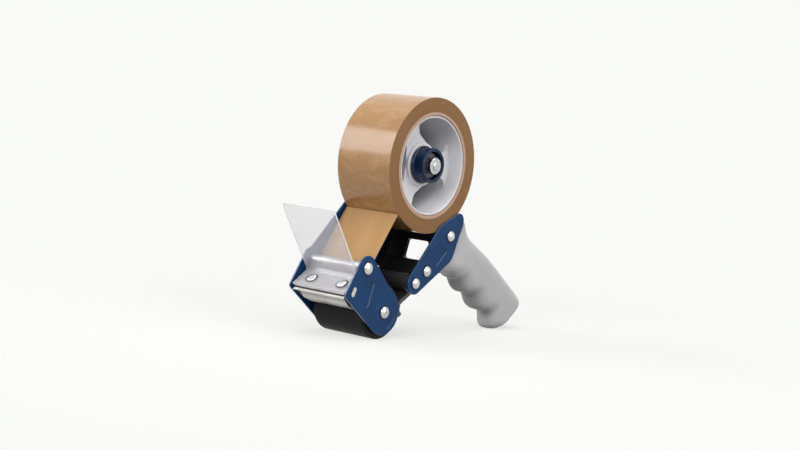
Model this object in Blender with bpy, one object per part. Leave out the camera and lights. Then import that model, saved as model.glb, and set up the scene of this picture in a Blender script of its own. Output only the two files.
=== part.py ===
"""Packing tape dispenser: a hand-held tape gun with a roll of brown tape, a press roller and a guard flap.

X runs across the tool, with +X on the side of the tension knob. -Y is the front, where the blade is,
and +Y is the handle end. Z is up, and the tool stands on its press roller and on the heel of its handle.
Most profiles are drawn as (y, z) points in the side view and run across the tool along X.
"""

import math

import bmesh
import bpy
from mathutils import Vector

MM = 0.001

# Clearances
SEAT = 0.3 * MM
RUNNING = 0.08 * MM
OVERRUN = 2.0 * MM
ROLL_CLEARANCE = 1.0 * MM

# Roll of tape
TAPE_WIDTH = 50.8 * MM
CORE_BORE_RADIUS = 38.1 * MM
CORE_WALL = 2.5 * MM
WINDING_DEPTH = 11.1 * MM
CORE_OUTER_RADIUS = CORE_BORE_RADIUS + CORE_WALL
TAPE_ROLL_RADIUS = CORE_OUTER_RADIUS + WINDING_DEPTH
ROLL_FLOOR_CLEARANCE = 78.8 * MM

# Press roller
ROLLER_RADIUS = 20.8 * MM
ROLLER_SETBACK = 44.9 * MM
ROLLER_SHORTFALL = 1.8 * MM
ROLLER_LENGTH = TAPE_WIDTH - ROLLER_SHORTFALL
ROLLER_RUBBER = 6.8 * MM
ROLLER_CORE_RADIUS = ROLLER_RADIUS - ROLLER_RUBBER
ROLLER_CORE_INSET = 2.0 * MM
ROLLER_CORE_LENGTH = ROLLER_LENGTH - 2 * ROLLER_CORE_INSET
ROLLER_CORE_HUB_RADIUS = 6.0 * MM
ROLLER_HUB_PROUD = 0.8 * MM
ROLLER_CORE_HUB_LENGTH = TAPE_WIDTH + ROLLER_HUB_PROUD
ROLLER_CORE_DISH = 8.0 * MM
ROLLER_CORE_RIM = 1.8 * MM
ROLLER_CHAMFER = 1.6 * MM

# Side plates
SIDE_GAP = 1.1 * MM
PLATE_THICKNESS = 1.5 * MM
PLATE_HOLE_RADIUS = 1.9 * MM
EMBOSS_DEPTH = 0.5 * MM
EMBOSS_RADIUS = 2.2 * MM
FLAP_LOBE_RADIUS = 9.3 * MM
ROLLER_LOBE_RADIUS = 17.2 * MM
NOSE_RADIUS = 3.4 * MM
HUB_LOBE_RADIUS = 14.0 * MM
FRAME_HEEL_RADIUS = 7.0 * MM
REAR_LOBE_RADIUS = 8.7 * MM
PLATE_TOP_RADIUS = 6.0 * MM
PLATE_SHOULDER_RADIUS = 9.2 * MM
PLATE_ELBOW_RADIUS = 14.0 * MM
PLATE_WAIST_RADIUS = 20.0 * MM
ARM_FILLET_RADIUS = 6.0 * MM

# Places in the side view, measured back (y) and up (z) from the roller axle
FLAP_SHAFT_OFFSET = (-23.3 * MM, 33.0 * MM)
NOSE_OFFSET = (-41.3 * MM, 14.1 * MM)
WAIST_OFFSET = (13.4 * MM, 37.2 * MM)
ARM_FILLET_ANGLE = math.radians(103.5)
TAB_OFFSET = (-36.5 * MM, 16.2 * MM)

# Places in the side view, measured from the point on the floor below the roll
SCREW_A = (26.5 * MM, 77.2 * MM)
SCREW_B = (1.0 * MM, 50.4 * MM)
SCREW_C = (-11.3 * MM, 41.4 * MM)
FRAME_SCREW_B = (14.0 * MM, 45.5 * MM)
PLATE_TOP = (36.2 * MM, 89.0 * MM)
PLATE_SHOULDER = (19.5 * MM, 77.5 * MM)
PLATE_ELBOW = (20.1 * MM, 67.5 * MM)
HUB_FILLET_ANGLE = math.radians(182.4)
UNDER_FILLET_RADIUS = 12.0 * MM

# Screws and shafts
HEAD_RADIUS = 4.4 * MM
HEAD_HEIGHT = 2.7 * MM
SHANK_RADIUS = 1.6 * MM
SHANK_IN_SHAFT = 7.0 * MM
FLAP_SHAFT_RADIUS = 3.0 * MM
ROLLER_AXLE_RADIUS = 3.0 * MM
SHAFT_HOLE_DEPTH = 9.0 * MM
SHAFT_HOLE_RADIUS = 1.9 * MM

# Guard flap, shield and rivets
SHEET = 1.0 * MM
BARREL_RADIUS = 3.9 * MM
BARREL_START = math.radians(-50)
BARREL_SWEEP = math.radians(246)
FLAP_SIDE_PROUD = 0.2 * MM
FLAP_HALF_WIDTH = TAPE_WIDTH / 2 + FLAP_SIDE_PROUD
FLAP_SPRING_ROOM = 3.4 * MM
BARREL_NEAR_END = FLAP_HALF_WIDTH - FLAP_SPRING_ROOM
FLAP_BEND_OFFSET = (-5.2 * MM, -9.3 * MM)
FLAP_WEB_OFFSET = (-1.8 * MM, -5.9 * MM)
FLAP_WEB_RADIUS = 2.4 * MM
FLAP_PLATE_LENGTH = 17.0 * MM
FLAP_PLATE_SLOPE = math.radians(34.4)
SHIELD_THICKNESS = 1.2 * MM
SHIELD_HEIGHT = 60.0 * MM
SHIELD_SETBACK = 0.6 * MM
SHIELD_SIDE_INSET = 0.3 * MM
SHIELD_HALF_WIDTH = FLAP_HALF_WIDTH - SHIELD_SIDE_INSET
SHIELD_BEND_RADIUS = 1.8 * MM
SHIELD_CORNER_RADIUS = 3.0 * MM
SHIELD_FLANGE_LENGTH = 13.4 * MM
RIVET_EDGE_FAR = 12.4 * MM
RIVET_EDGE_NEAR = 9.2 * MM
RIVET_HEAD_RADIUS = 4.1 * MM
RIVET_HEAD_HEIGHT = 1.9 * MM
RIVET_SHANK_RADIUS = 1.5 * MM
RIVET_SETBACK = 8.6 * MM

# Blade and blade holder
BLADE_THICKNESS = 0.8 * MM
BLADE_LENGTH = 12.0 * MM
BLADE_SIDE_INSET = 0.4 * MM
BLADE_HALF_WIDTH = TAPE_WIDTH / 2 - BLADE_SIDE_INSET
TOOTH_HEIGHT = 3.0 * MM
TOOTH_COUNT = 24
BLADE_REACH = 3.6 * MM
HOLDER_THICKNESS = 1.2 * MM
SKIRT_SIDE_INSET = 3.4 * MM
SKIRT_HALF_WIDTH = TAPE_WIDTH / 2 - SKIRT_SIDE_INSET
SHELF_SHARE = 0.8
EAR_RADIUS = 2.4 * MM
HOLDER_BEND_RADIUS = 1.4 * MM
HOLDER_SHELF_LENGTH = 12.5 * MM
SKIRT_MIDDLE = (-34.0 * MM, 5.6 * MM)
SKIRT_END = (-26.0 * MM, 2.6 * MM)
SKIRT_RADIUS = 9.0 * MM
EAR_THICKNESS = 0.6 * MM
TAB_LENGTH = 7.4 * MM
TAB_WIDTH = 3.4 * MM
TAB_PROUD = 0.5 * MM
TAB_SLOPE = math.radians(66)

# Strip of tape between the roll and the blade
STRIP_THICKNESS = 0.3 * MM
STRIP_SHORTFALL = 1.5 * MM
PEEL_ANGLE = math.radians(-134.4)
STRIP_WRAP = math.radians(46)

# Tape bed between the side plates
BED_THICKNESS = 3.2 * MM
BED_WALL_TOP = (26.2 * MM, 76.0 * MM)
BED_KNEE = (20.6 * MM, 55.4 * MM)
BED_KNEE_RADIUS = 2.5 * MM
BED_HEEL = (15.0 * MM, 44.5 * MM)
BED_FLOOR_END = (-8.0 * MM, 33.1 * MM)
BED_HEEL_RADIUS = 8.0 * MM
BED_FLOOR_RADIUS = 14.0 * MM
BED_CHEEK = 4.2 * MM
CHEEK_FOOT = (18.6 * MM, 54.0 * MM)
BED_TUBE_RADIUS = 6.4 * MM
BED_BOSS_RADIUS = 5.2 * MM
BED_FLANGE_RADIUS = 6.8 * MM
BED_INNER_CORNER = (2.5 * MM, 60.0 * MM)
BED_INNER_RADIUS = 10.0 * MM
BAR_RADIUS = 4.0 * MM
BAR_DEPTH = 6.5 * MM
BAR_RISE = 2.0 * MM
LIP_OFFSET = (24.3 * MM, -1.3 * MM)
LIP_TURN_OFFSET = (25.0 * MM, 4.9 * MM)
LIP_END_OFFSET = (27.6 * MM, -4.6 * MM)
LIP_RADIUS = 2.6 * MM
WINDOW_HALF_WIDTH = 10.7 * MM
WINDOW_LOW = 55.6 * MM
WINDOW_HIGH = 70.8 * MM
WINDOW_CORNER = 2.6 * MM

# Handle
TONGUE_THICKNESS = 4.5 * MM
TONGUE_INSET = 1.6 * MM
TONGUE_REACH = 6.0 * MM
GRIP_LENGTH = 87.0 * MM
GRIP_ANGLE = math.radians(-31.0)
GRIP_START = (43.8 * MM, 44.9 * MM)
GRIP_ROOT = -19.5 * MM
GRIP_DEPTH = 33.6 * MM
GRIP_ARCH = 1.6 * MM
GRIP_HALF_WIDTH = 13.2 * MM
GRIP_ROOT_HALF_WIDTH = 10.8 * MM
GRIP_INSET = 10.2 * MM
GRIP_CENTRE_X = TAPE_WIDTH / 2 - GRIP_INSET
GRIP_ROUND = 11.0 * MM
ROUND_SHARE = 0.98
LOBE_PITCH = 26.3 * MM
LOBE_HEIGHT = 2.0 * MM
LOBE_FIRST = 22.5 * MM
LOBE_FADE_START = 2.25 * MM
LOBE_FADE_RUN = 5.6 * MM
ROOT_FLARE_BACK = 9.0 * MM
ROOT_FLARE_FRONT = 9.5 * MM
HEEL_DROP = 7.4 * MM
HEEL_RUN = 22.5 * MM
HEEL_RISE_SHARE = 0.6
FLARE_FRONT_POWER = 1.5
FLARE_BACK_POWER = 2
END_ROUND = 5.5 * MM
END_SHARE = 0.8
END_SLANT_SHARE = 0.36

# Hub, knob and axle
HUB_RIM_THICKNESS = 2.5 * MM
HUB_RIM_BACK_INSET = 1.9 * MM
HUB_RIM_BACK = HUB_RIM_BACK_INSET - TAPE_WIDTH / 2
HUB_RIM_FRONT_INSET = 0.6 * MM
HUB_RIM_FRONT = TAPE_WIDTH / 2 - HUB_RIM_FRONT_INSET
HUB_WEB_DEPTH = 12.3 * MM
HUB_WEB_FRONT = HUB_RIM_FRONT - HUB_WEB_DEPTH
HUB_WEB_THICKNESS = 2.5 * MM
HUB_BOSS_RADIUS = 17.0 * MM
HUB_BOSS_PROUD = 2.0 * MM
HUB_BOSS_FRONT = HUB_WEB_FRONT + HUB_BOSS_PROUD
HUB_TUBE_RADIUS = 11.0 * MM
HUB_TUBE_BACK_INSET = 1.0 * MM
HUB_TUBE_BACK = HUB_TUBE_BACK_INSET - TAPE_WIDTH / 2
SPRING_POCKET_RADIUS = 8.2 * MM
SPRING_POCKET_DEPTH = 10.5 * MM
SPRING_POCKET_FLOOR = HUB_BOSS_FRONT - SPRING_POCKET_DEPTH
WINDOW_TO_BOSS = 2.5 * MM
HUB_WINDOW_INNER = HUB_BOSS_RADIUS + WINDOW_TO_BOSS
WINDOW_TO_RIM = 1.1 * MM
HUB_WINDOW_OUTER = CORE_BORE_RADIUS - SEAT - HUB_RIM_THICKNESS - WINDOW_TO_RIM
HUB_WINDOW_ANGLE = math.radians(66)
HUB_WINDOW_CORNER = 5.0 * MM
SPOKE_COUNT = 3
HUB_AXLE_RADIUS = 4.0 * MM
AXLE_THREAD_RADIUS = 3.4 * MM
AXLE_PROUD = 4.2 * MM
AXLE_END = HUB_RIM_FRONT + AXLE_PROUD
AXLE_HEAD_RADIUS = 6.6 * MM
AXLE_HEAD_HEIGHT = 3.4 * MM
KNOB_RADIUS = 13.2 * MM
KNOB_FLANGE_PROUD = 1.2 * MM
KNOB_FLANGE_RADIUS = KNOB_RADIUS + KNOB_FLANGE_PROUD
KNOB_BACK = HUB_BOSS_FRONT + SEAT
KNOB_LENGTH = 11.1 * MM
KNOB_FRONT = KNOB_BACK + KNOB_LENGTH
KNOB_FLANGE_THICKNESS = 1.5 * MM
KNOB_WALL = 2.6 * MM
KNOB_RECESS_RADIUS = KNOB_RADIUS - KNOB_WALL
KNOB_FLOOR_THICKNESS = 4.6 * MM
KNOB_FLOOR = KNOB_BACK + KNOB_FLOOR_THICKNESS
KNOB_EDGE = 0.6 * MM
INSERT_GAP = 0.6 * MM
INSERT_RADIUS = KNOB_RECESS_RADIUS - INSERT_GAP
INSERT_THICKNESS = 2.6 * MM
NUT_SIDES = 6
NUT_RADIUS = 6.6 * MM
NUT_COLLAR_RADIUS = 6.4 * MM
NUT_HEIGHT = 3.2 * MM
NUT_COLLAR_HEIGHT = 2.2 * MM
WASHER_GAP = 0.6 * MM
WASHER_RADIUS = SPRING_POCKET_RADIUS - WASHER_GAP
WASHER_THICKNESS = 0.9 * MM

# Springs
BRAKE_WIRE_RADIUS = 0.8 * MM
BRAKE_COIL_INSET = 1.9 * MM
BRAKE_COIL_RADIUS = SPRING_POCKET_RADIUS - BRAKE_COIL_INSET
BRAKE_TURNS = 3.5
FLAP_WIRE_RADIUS = 0.42 * MM
FLAP_COIL_RADIUS = 3.75 * MM
FLAP_COIL_START = math.radians(196)
FLAP_COIL_TURNS = 2.3
FLAP_COIL_PITCH = 1.3 * MM
FLAP_LEG_RISE = 1.7 * MM
FLAP_LEG_HOOK = 2.2 * MM
FLAP_TOE_OFFSET = (-4.8 * MM, -6.2 * MM)
SPRING_LEAST_GAP = 0.4 * MM
NEIGHBOUR_SHARE = 8

# Embossed panels, and the ears of the blade holder
FRONT_PANEL_LOW_LEFT = (-15.4 * MM, -6.4 * MM)
FRONT_PANEL_LOW_RIGHT = (-8.8 * MM, -9.8 * MM)
FRONT_PANEL_HIGH_RIGHT = (-4.8 * MM, 5.0 * MM)
FRONT_PANEL_HIGH_LEFT = (-11.6 * MM, 5.2 * MM)
GROOVE_RADIUS = 12.8 * MM
GROOVE_WIDTH = 1.4 * MM
GROOVE_START = math.radians(-66)
GROOVE_SWEEP = math.radians(56)
REAR_PANEL_LOW = (11.5 * MM, 6.1 * MM)
REAR_PANEL_BACK = (20.2 * MM, 15.1 * MM)
REAR_PANEL_HIGH = (13.5 * MM, 19.6 * MM)
REAR_PANEL_FRONT = (2.3 * MM, 10.1 * MM)
EAR_FRONT = (-37.4 * MM, 12.7 * MM)
EAR_LOW = (-31.5 * MM, 9.2 * MM)
EAR_BACK = (-27.0 * MM, 6.8 * MM)
EAR_TOP = (-29.6 * MM, 17.7 * MM)

# Facets
GRIP_CORNER_STEPS = 5
GRIP_SECTIONS = 32
END_SECTIONS = 5
RING_SEGMENTS = 72
HUB_SEGMENTS = 60
SMALL_SEGMENTS = 24
CURL_POINTS = 10
ARC_STEP = math.radians(15)
DOME_TURNS = [math.radians(10), math.radians(32), math.radians(54), math.radians(74)]

# Worked-out places
PLATE_INNER = TAPE_WIDTH / 2 + SIDE_GAP
PLATE_OUTER = PLATE_INNER + PLATE_THICKNESS
ROLL_AXIS = (0.0, TAPE_ROLL_RADIUS + ROLL_FLOOR_CLEARANCE)
ROLLER_AXIS = (-ROLLER_SETBACK, ROLLER_RADIUS)


def shifted(point, offset):
    return (point[0] + offset[0], point[1] + offset[1])


def along(point, direction, distance):
    return (point[0] + direction[0] * distance, point[1] + direction[1] * distance)


def swung(point, distance, angle):
    return (point[0] + distance * math.cos(angle), point[1] + distance * math.sin(angle))


def hollow_between(first, first_radius, second, second_radius, radius):
    """Centre of a hollow corner of this radius that lies against two circles, on the right of the way between them."""
    near, far = first_radius + radius + SEAT, second_radius + radius + SEAT
    way = (second[0] - first[0], second[1] - first[1])
    span = math.hypot(*way)
    unit = (way[0] / span, way[1] / span)
    reach = (span * span + near * near - far * far) / (2 * span)
    drop = math.sqrt(near * near - reach * reach)
    return along(along(first, unit, reach), (unit[1], -unit[0]), drop)


FLAP_SHAFT = shifted(ROLLER_AXIS, FLAP_SHAFT_OFFSET)
NOSE = shifted(ROLLER_AXIS, NOSE_OFFSET)
WAIST = shifted(ROLLER_AXIS, WAIST_OFFSET)
TAB = shifted(ROLLER_AXIS, TAB_OFFSET)
ARM_FILLET = swung(FLAP_SHAFT, FLAP_LOBE_RADIUS + ARM_FILLET_RADIUS + SEAT, ARM_FILLET_ANGLE)
UNDER_FILLET = hollow_between(ROLLER_AXIS, ROLLER_LOBE_RADIUS, SCREW_C, REAR_LOBE_RADIUS, UNDER_FILLET_RADIUS)
HUB_FILLET = swung(ROLL_AXIS, HUB_LOBE_RADIUS + PLATE_WAIST_RADIUS + SEAT, HUB_FILLET_ANGLE)
FLAP_BEND = shifted(FLAP_SHAFT, FLAP_BEND_OFFSET)
PLATE_WAY = (-math.cos(FLAP_PLATE_SLOPE), -math.sin(FLAP_PLATE_SLOPE))
PLATE_UP = (-math.sin(FLAP_PLATE_SLOPE), math.cos(FLAP_PLATE_SLOPE))


# Side view outlines

def arc_points(centre, radius, start, sweep):
    steps = max(1, math.ceil(abs(sweep) / ARC_STEP - 1e-9))
    return [
        (centre[0] + radius * math.cos(start + sweep * k / steps),
         centre[1] + radius * math.sin(start + sweep * k / steps))
        for k in range(steps + 1)
    ]


def belt(circles):
    """Anticlockwise outline that runs round (centre, radius) circles. A negative radius is a hollow corner."""
    count = len(circles)
    normals = []
    for index in range(count):
        (start, radius), (end, next_radius) = circles[index], circles[(index + 1) % count]
        way = Vector((end[0] - start[0], end[1] - start[1]))
        base = math.atan2(way.y, way.x)
        normals.append(base + math.acos((next_radius - radius) / way.length))
    points = []
    for index, (centre, radius) in enumerate(circles):
        arrive = normals[index - 1] + math.pi
        leave = normals[index] + math.pi
        if radius > 0:
            sweep = (leave - arrive) % math.tau
            points += arc_points(centre, radius, arrive, sweep)
        else:
            sweep = -((arrive - leave) % math.tau)
            points += arc_points(centre, -radius, arrive + math.pi, sweep)
    return points


def rounded_path(corners):
    """Open path through (point, radius) corners, with each inner corner rounded."""
    points = [corners[0][0]]
    for index in range(1, len(corners) - 1):
        before, (corner, radius), after = corners[index - 1][0], corners[index], corners[index + 1][0]
        back = (Vector(before) - Vector(corner)).normalized()
        ahead = (Vector(after) - Vector(corner)).normalized()
        half = back.angle(ahead) / 2
        reach = radius / math.tan(half)
        centre = Vector(corner) + (back + ahead).normalized() * (radius / math.sin(half))
        first = Vector(corner) + back * reach - centre
        last = Vector(corner) + ahead * reach - centre
        sweep = math.atan2(first.cross(last), first.dot(last))
        points += arc_points(tuple(centre), radius, math.atan2(first.y, first.x), sweep)
    points.append(corners[-1][0])
    return points


def ribbon(path, thickness):
    """Closed outline of a sheet of this thickness along the path."""
    left, right = [], []
    for index, point in enumerate(path):
        before = Vector(path[max(index - 1, 0)])
        after = Vector(path[min(index + 1, len(path) - 1)])
        here = Vector(point)
        ways = [way.normalized() for way in (here - before, after - here) if way.length > 0]
        way = sum(ways, Vector((0, 0))).normalized()
        normal = Vector((-way.y, way.x)) * (thickness / 2 / max(way.dot(ways[0]), 0.5))
        left.append(tuple(here + normal))
        right.append(tuple(here - normal))
    return right + left[::-1]


def circle_points(centre, radius, segments=SMALL_SEGMENTS):
    return [
        (centre[0] + radius * math.cos(math.tau * k / segments),
         centre[1] + radius * math.sin(math.tau * k / segments))
        for k in range(segments)
    ]


def slot_points(centre, length, width, slope):
    """Round-ended slot."""
    reach = (length - width) / 2
    way = (math.cos(slope), math.sin(slope))
    ends = [(along(centre, way, -reach), width / 2), (along(centre, way, reach), width / 2)]
    return belt(ends)


# Scene helpers

def clear_scene():
    for thing in list(bpy.data.objects):
        bpy.data.objects.remove(thing, do_unlink=True)


def material(name, colour, roughness, metallic=0.0, alpha=1.0, transmission=0.0):
    made = bpy.data.materials.new(name)
    made.use_nodes = True
    shader = made.node_tree.nodes["Principled BSDF"]
    shader.inputs["Base Color"].default_value = (*colour, 1.0)
    shader.inputs["Roughness"].default_value = roughness
    shader.inputs["Metallic"].default_value = metallic
    shader.inputs["Alpha"].default_value = alpha
    shader.inputs["Transmission Weight"].default_value = transmission
    made.diffuse_color = (*colour, alpha)
    return made


def make_materials():
    return {
        "blue_paint": material("blue_paint", (0.012, 0.05, 0.17), 0.3),
        "kraft_tape": material("kraft_tape", (0.46, 0.27, 0.12), 0.32),
        "adhesive": material("adhesive", (0.55, 0.33, 0.14), 0.5),
        "paper_core": material("paper_core", (0.66, 0.44, 0.33), 0.85),
        "black_plastic": material("black_plastic", (0.012, 0.012, 0.013), 0.25),
        "rubber": material("rubber", (0.02, 0.02, 0.021), 0.55),
        "grey_plastic": material("grey_plastic", (0.5, 0.5, 0.51), 0.45),
        "white_plastic": material("white_plastic", (0.72, 0.72, 0.75), 0.4),
        "steel": material("steel", (0.72, 0.72, 0.73), 0.22, 1.0),
        "holder_steel": material("holder_steel", (0.6, 0.59, 0.58), 0.4, 1.0),
        "clear_plastic": material("clear_plastic", (0.95, 0.96, 0.97), 0.03, 0.0, 0.35, 1.0),
    }


def empty(name, place, parent=None):
    made = bpy.data.objects.new(name, None)
    bpy.context.scene.collection.objects.link(made)
    made.location = place
    if parent is not None:
        made.parent = parent
        made.location = Vector(place) - parent.location
    return made


def add_object(name, mesh_data, surface, body, place=(0.0, 0.0, 0.0)):
    """Links a mesh at a world place, under the empty of the body that it moves with."""
    made = bpy.data.objects.new(name, mesh_data)
    bpy.context.scene.collection.objects.link(made)
    made.parent = body
    anchor = body.location + (body.parent.location if body.parent else Vector())
    made.location = Vector(place) - anchor
    made.data.materials.append(surface)
    return made


def finish(name, bm, smooth_angle=math.radians(35)):
    bmesh.ops.recalc_face_normals(bm, faces=bm.faces)
    data = bpy.data.meshes.new(name)
    bm.to_mesh(data)
    bm.free()
    data.shade_smooth()
    data.set_sharp_from_angle(angle=smooth_angle)
    return data


def prism(name, outline, low, high, holes=()):
    """Side view outline, with holes, run along X from low to high."""
    bm = bmesh.new()
    edges = []
    for loop in (outline, *holes):
        ring = [bm.verts.new((low, y, z)) for y, z in loop]
        edges += [bm.edges.new((ring[k - 1], ring[k])) for k in range(len(ring))]
    faces = bmesh.ops.triangle_fill(bm, use_beauty=True, use_dissolve=False, edges=edges)["geom"]
    faces = [item for item in faces if isinstance(item, bmesh.types.BMFace)]
    grown = bmesh.ops.extrude_face_region(bm, geom=faces)["geom"]
    verts = [item for item in grown if isinstance(item, bmesh.types.BMVert)]
    bmesh.ops.translate(bm, verts=verts, vec=(high - low, 0, 0))
    return finish(name, bm)


def turned(name, profile, segments, closed):
    """Profile of (x, radius) points turned about the X axis. A closed profile has a bore, an open one ends on the axis."""
    bm = bmesh.new()
    rings = []
    for x, radius in profile:
        if radius == 0:
            rings.append([bm.verts.new((x, 0, 0))])
            continue
        rings.append([bm.verts.new((x, y, z)) for y, z in circle_points((0, 0), radius, segments)])
    pairs = list(zip(rings, rings[1:] + rings[:1])) if closed else list(zip(rings, rings[1:]))
    for first, second in pairs:
        for k in range(segments):
            corners = [first[k % len(first)], first[(k + 1) % len(first)]]
            corners += [second[(k + 1) % len(second)], second[k % len(second)]]
            distinct = list(dict.fromkeys(corners))
            bm.faces.new(distinct)
    return finish(name, bm)


def as_cutter(name, data, place=(0.0, 0.0, 0.0)):
    made = bpy.data.objects.new(name, data)
    bpy.context.scene.collection.objects.link(made)
    made.location = place
    made.hide_render = True
    made.display_type = "WIRE"
    return made


def boolean(target, tool, operation):
    if tool.parent is None:
        tool.parent = ROOT["empty"]
    step = target.modifiers.new(tool.name, "BOOLEAN")
    step.object = tool
    step.operation = operation
    step.solver = "EXACT"


def cut(target, name, data, place=(0.0, 0.0, 0.0)):
    boolean(target, as_cutter(name, data, place), "DIFFERENCE")


def join(target, name, data, place=(0.0, 0.0, 0.0)):
    boolean(target, as_cutter(name, data, place), "UNION")


ROOT = {}


def at(point, x=0.0):
    return (x, point[0], point[1])


# Roll of tape

def make_tape_roll(body, surfaces):
    half = TAPE_WIDTH / 2
    core = [(-half, CORE_BORE_RADIUS), (-half, CORE_OUTER_RADIUS), (half, CORE_OUTER_RADIUS), (half, CORE_BORE_RADIUS)]
    inner = CORE_OUTER_RADIUS + RUNNING
    tape = [(-half, inner), (-half, TAPE_ROLL_RADIUS), (half, TAPE_ROLL_RADIUS), (half, inner)]
    data = turned("tape_core", core, RING_SEGMENTS, True)
    add_object("tape_core", data, surfaces["paper_core"], body, at(ROLL_AXIS))
    data = turned("tape_roll", tape, RING_SEGMENTS, True)
    add_object("tape_roll", data, surfaces["kraft_tape"], body, at(ROLL_AXIS))


def sector_outline(middle):
    """Window between two spokes: a ring sector with rounded corners, centred on the angle middle."""
    corner = HUB_WINDOW_CORNER
    outer, inner = HUB_WINDOW_OUTER - corner, HUB_WINDOW_INNER + corner
    half = HUB_WINDOW_ANGLE / 2
    outer_turn = half - corner / outer
    inner_turn = half - corner / inner
    quarter = math.pi / 2
    outer_high = swung((0, 0), outer, middle + outer_turn)
    inner_high = swung((0, 0), inner, middle + inner_turn)
    inner_low = swung((0, 0), inner, middle - inner_turn)
    outer_low = swung((0, 0), outer, middle - outer_turn)
    points = arc_points((0, 0), HUB_WINDOW_OUTER, middle - outer_turn, 2 * outer_turn)
    points += arc_points(outer_high, corner, middle + outer_turn, quarter)[1:]
    points += arc_points(inner_high, corner, middle + inner_turn + quarter, quarter)
    points += arc_points((0, 0), HUB_WINDOW_INNER, middle + inner_turn, -2 * inner_turn)[1:]
    points += arc_points(inner_low, corner, middle - inner_turn - math.pi, quarter)[1:]
    points += arc_points(outer_low, corner, middle - outer_turn - quarter, quarter)[:-1]
    return points


def make_core_hub(body, surfaces):
    rim_outer = CORE_BORE_RADIUS - SEAT
    rim_inner = rim_outer - HUB_RIM_THICKNESS
    web_back = HUB_WEB_FRONT - HUB_WEB_THICKNESS
    bore = HUB_AXLE_RADIUS + RUNNING
    profile = [
        (HUB_TUBE_BACK, bore),
        (HUB_TUBE_BACK, HUB_TUBE_RADIUS),
        (web_back, HUB_TUBE_RADIUS),
        (web_back, rim_inner),
        (HUB_RIM_BACK, rim_inner),
        (HUB_RIM_BACK, rim_outer),
        (HUB_RIM_FRONT - KNOB_EDGE, rim_outer),
        (HUB_RIM_FRONT, rim_outer - KNOB_EDGE),
        (HUB_RIM_FRONT, rim_inner + KNOB_EDGE),
        (HUB_RIM_FRONT - KNOB_EDGE, rim_inner),
        (HUB_WEB_FRONT + KNOB_EDGE, rim_inner),
        (HUB_WEB_FRONT, rim_inner - KNOB_EDGE),
        (HUB_WEB_FRONT, HUB_BOSS_RADIUS + KNOB_EDGE),
        (HUB_WEB_FRONT + KNOB_EDGE, HUB_BOSS_RADIUS),
        (HUB_BOSS_FRONT - KNOB_EDGE, HUB_BOSS_RADIUS),
        (HUB_BOSS_FRONT, HUB_BOSS_RADIUS - KNOB_EDGE),
        (HUB_BOSS_FRONT, SPRING_POCKET_RADIUS),
        (SPRING_POCKET_FLOOR, SPRING_POCKET_RADIUS),
        (SPRING_POCKET_FLOOR, bore),
    ]
    data = turned("core_hub", profile, HUB_SEGMENTS, True)
    hub = add_object("core_hub", data, surfaces["white_plastic"], body, at(ROLL_AXIS))
    for index in range(SPOKE_COUNT):
        middle = math.tau * (index + 0.5) / SPOKE_COUNT
        name = f"hub_window_{index}"
        window = prism(name, sector_outline(middle), web_back - OVERRUN, HUB_WEB_FRONT + OVERRUN)
        cut(hub, name, window, at(ROLL_AXIS))


# Knob and axle

def make_hub_axle(body, surfaces):
    head_back = -PLATE_OUTER - SEAT
    step = HUB_BOSS_FRONT - WASHER_THICKNESS - SEAT
    profile = [
        (head_back - AXLE_HEAD_HEIGHT, 0),
        (head_back - AXLE_HEAD_HEIGHT, AXLE_HEAD_RADIUS - KNOB_EDGE),
        (head_back - AXLE_HEAD_HEIGHT + KNOB_EDGE, AXLE_HEAD_RADIUS),
        (head_back, AXLE_HEAD_RADIUS),
        (head_back, HUB_AXLE_RADIUS),
        (SPRING_POCKET_FLOOR, HUB_AXLE_RADIUS),
        (SPRING_POCKET_FLOOR, AXLE_THREAD_RADIUS),
        (AXLE_END - KNOB_EDGE, AXLE_THREAD_RADIUS),
        (AXLE_END, AXLE_THREAD_RADIUS - KNOB_EDGE),
        (AXLE_END, 0),
    ]
    data = turned("hub_axle", profile, SMALL_SEGMENTS, False)
    add_object("hub_axle", data, surfaces["steel"], body, at(ROLL_AXIS))
    back = -PLATE_INNER + SEAT
    front = HUB_TUBE_BACK - SEAT
    washer = [(back, HUB_AXLE_RADIUS + RUNNING), (back, WASHER_RADIUS), (front, WASHER_RADIUS)]
    washer.append((front, HUB_AXLE_RADIUS + RUNNING))
    data = turned("hub_washer", washer, SMALL_SEGMENTS, True)
    add_object("hub_washer", data, surfaces["steel"], body, at(ROLL_AXIS))
    bore = AXLE_THREAD_RADIUS + RUNNING
    plate = [(step, bore), (step, WASHER_RADIUS), (step + WASHER_THICKNESS, WASHER_RADIUS)]
    plate.append((step + WASHER_THICKNESS, bore))
    data = turned("brake_washer", plate, SMALL_SEGMENTS, True)
    add_object("brake_washer", data, surfaces["steel"], body, at(ROLL_AXIS))


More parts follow.
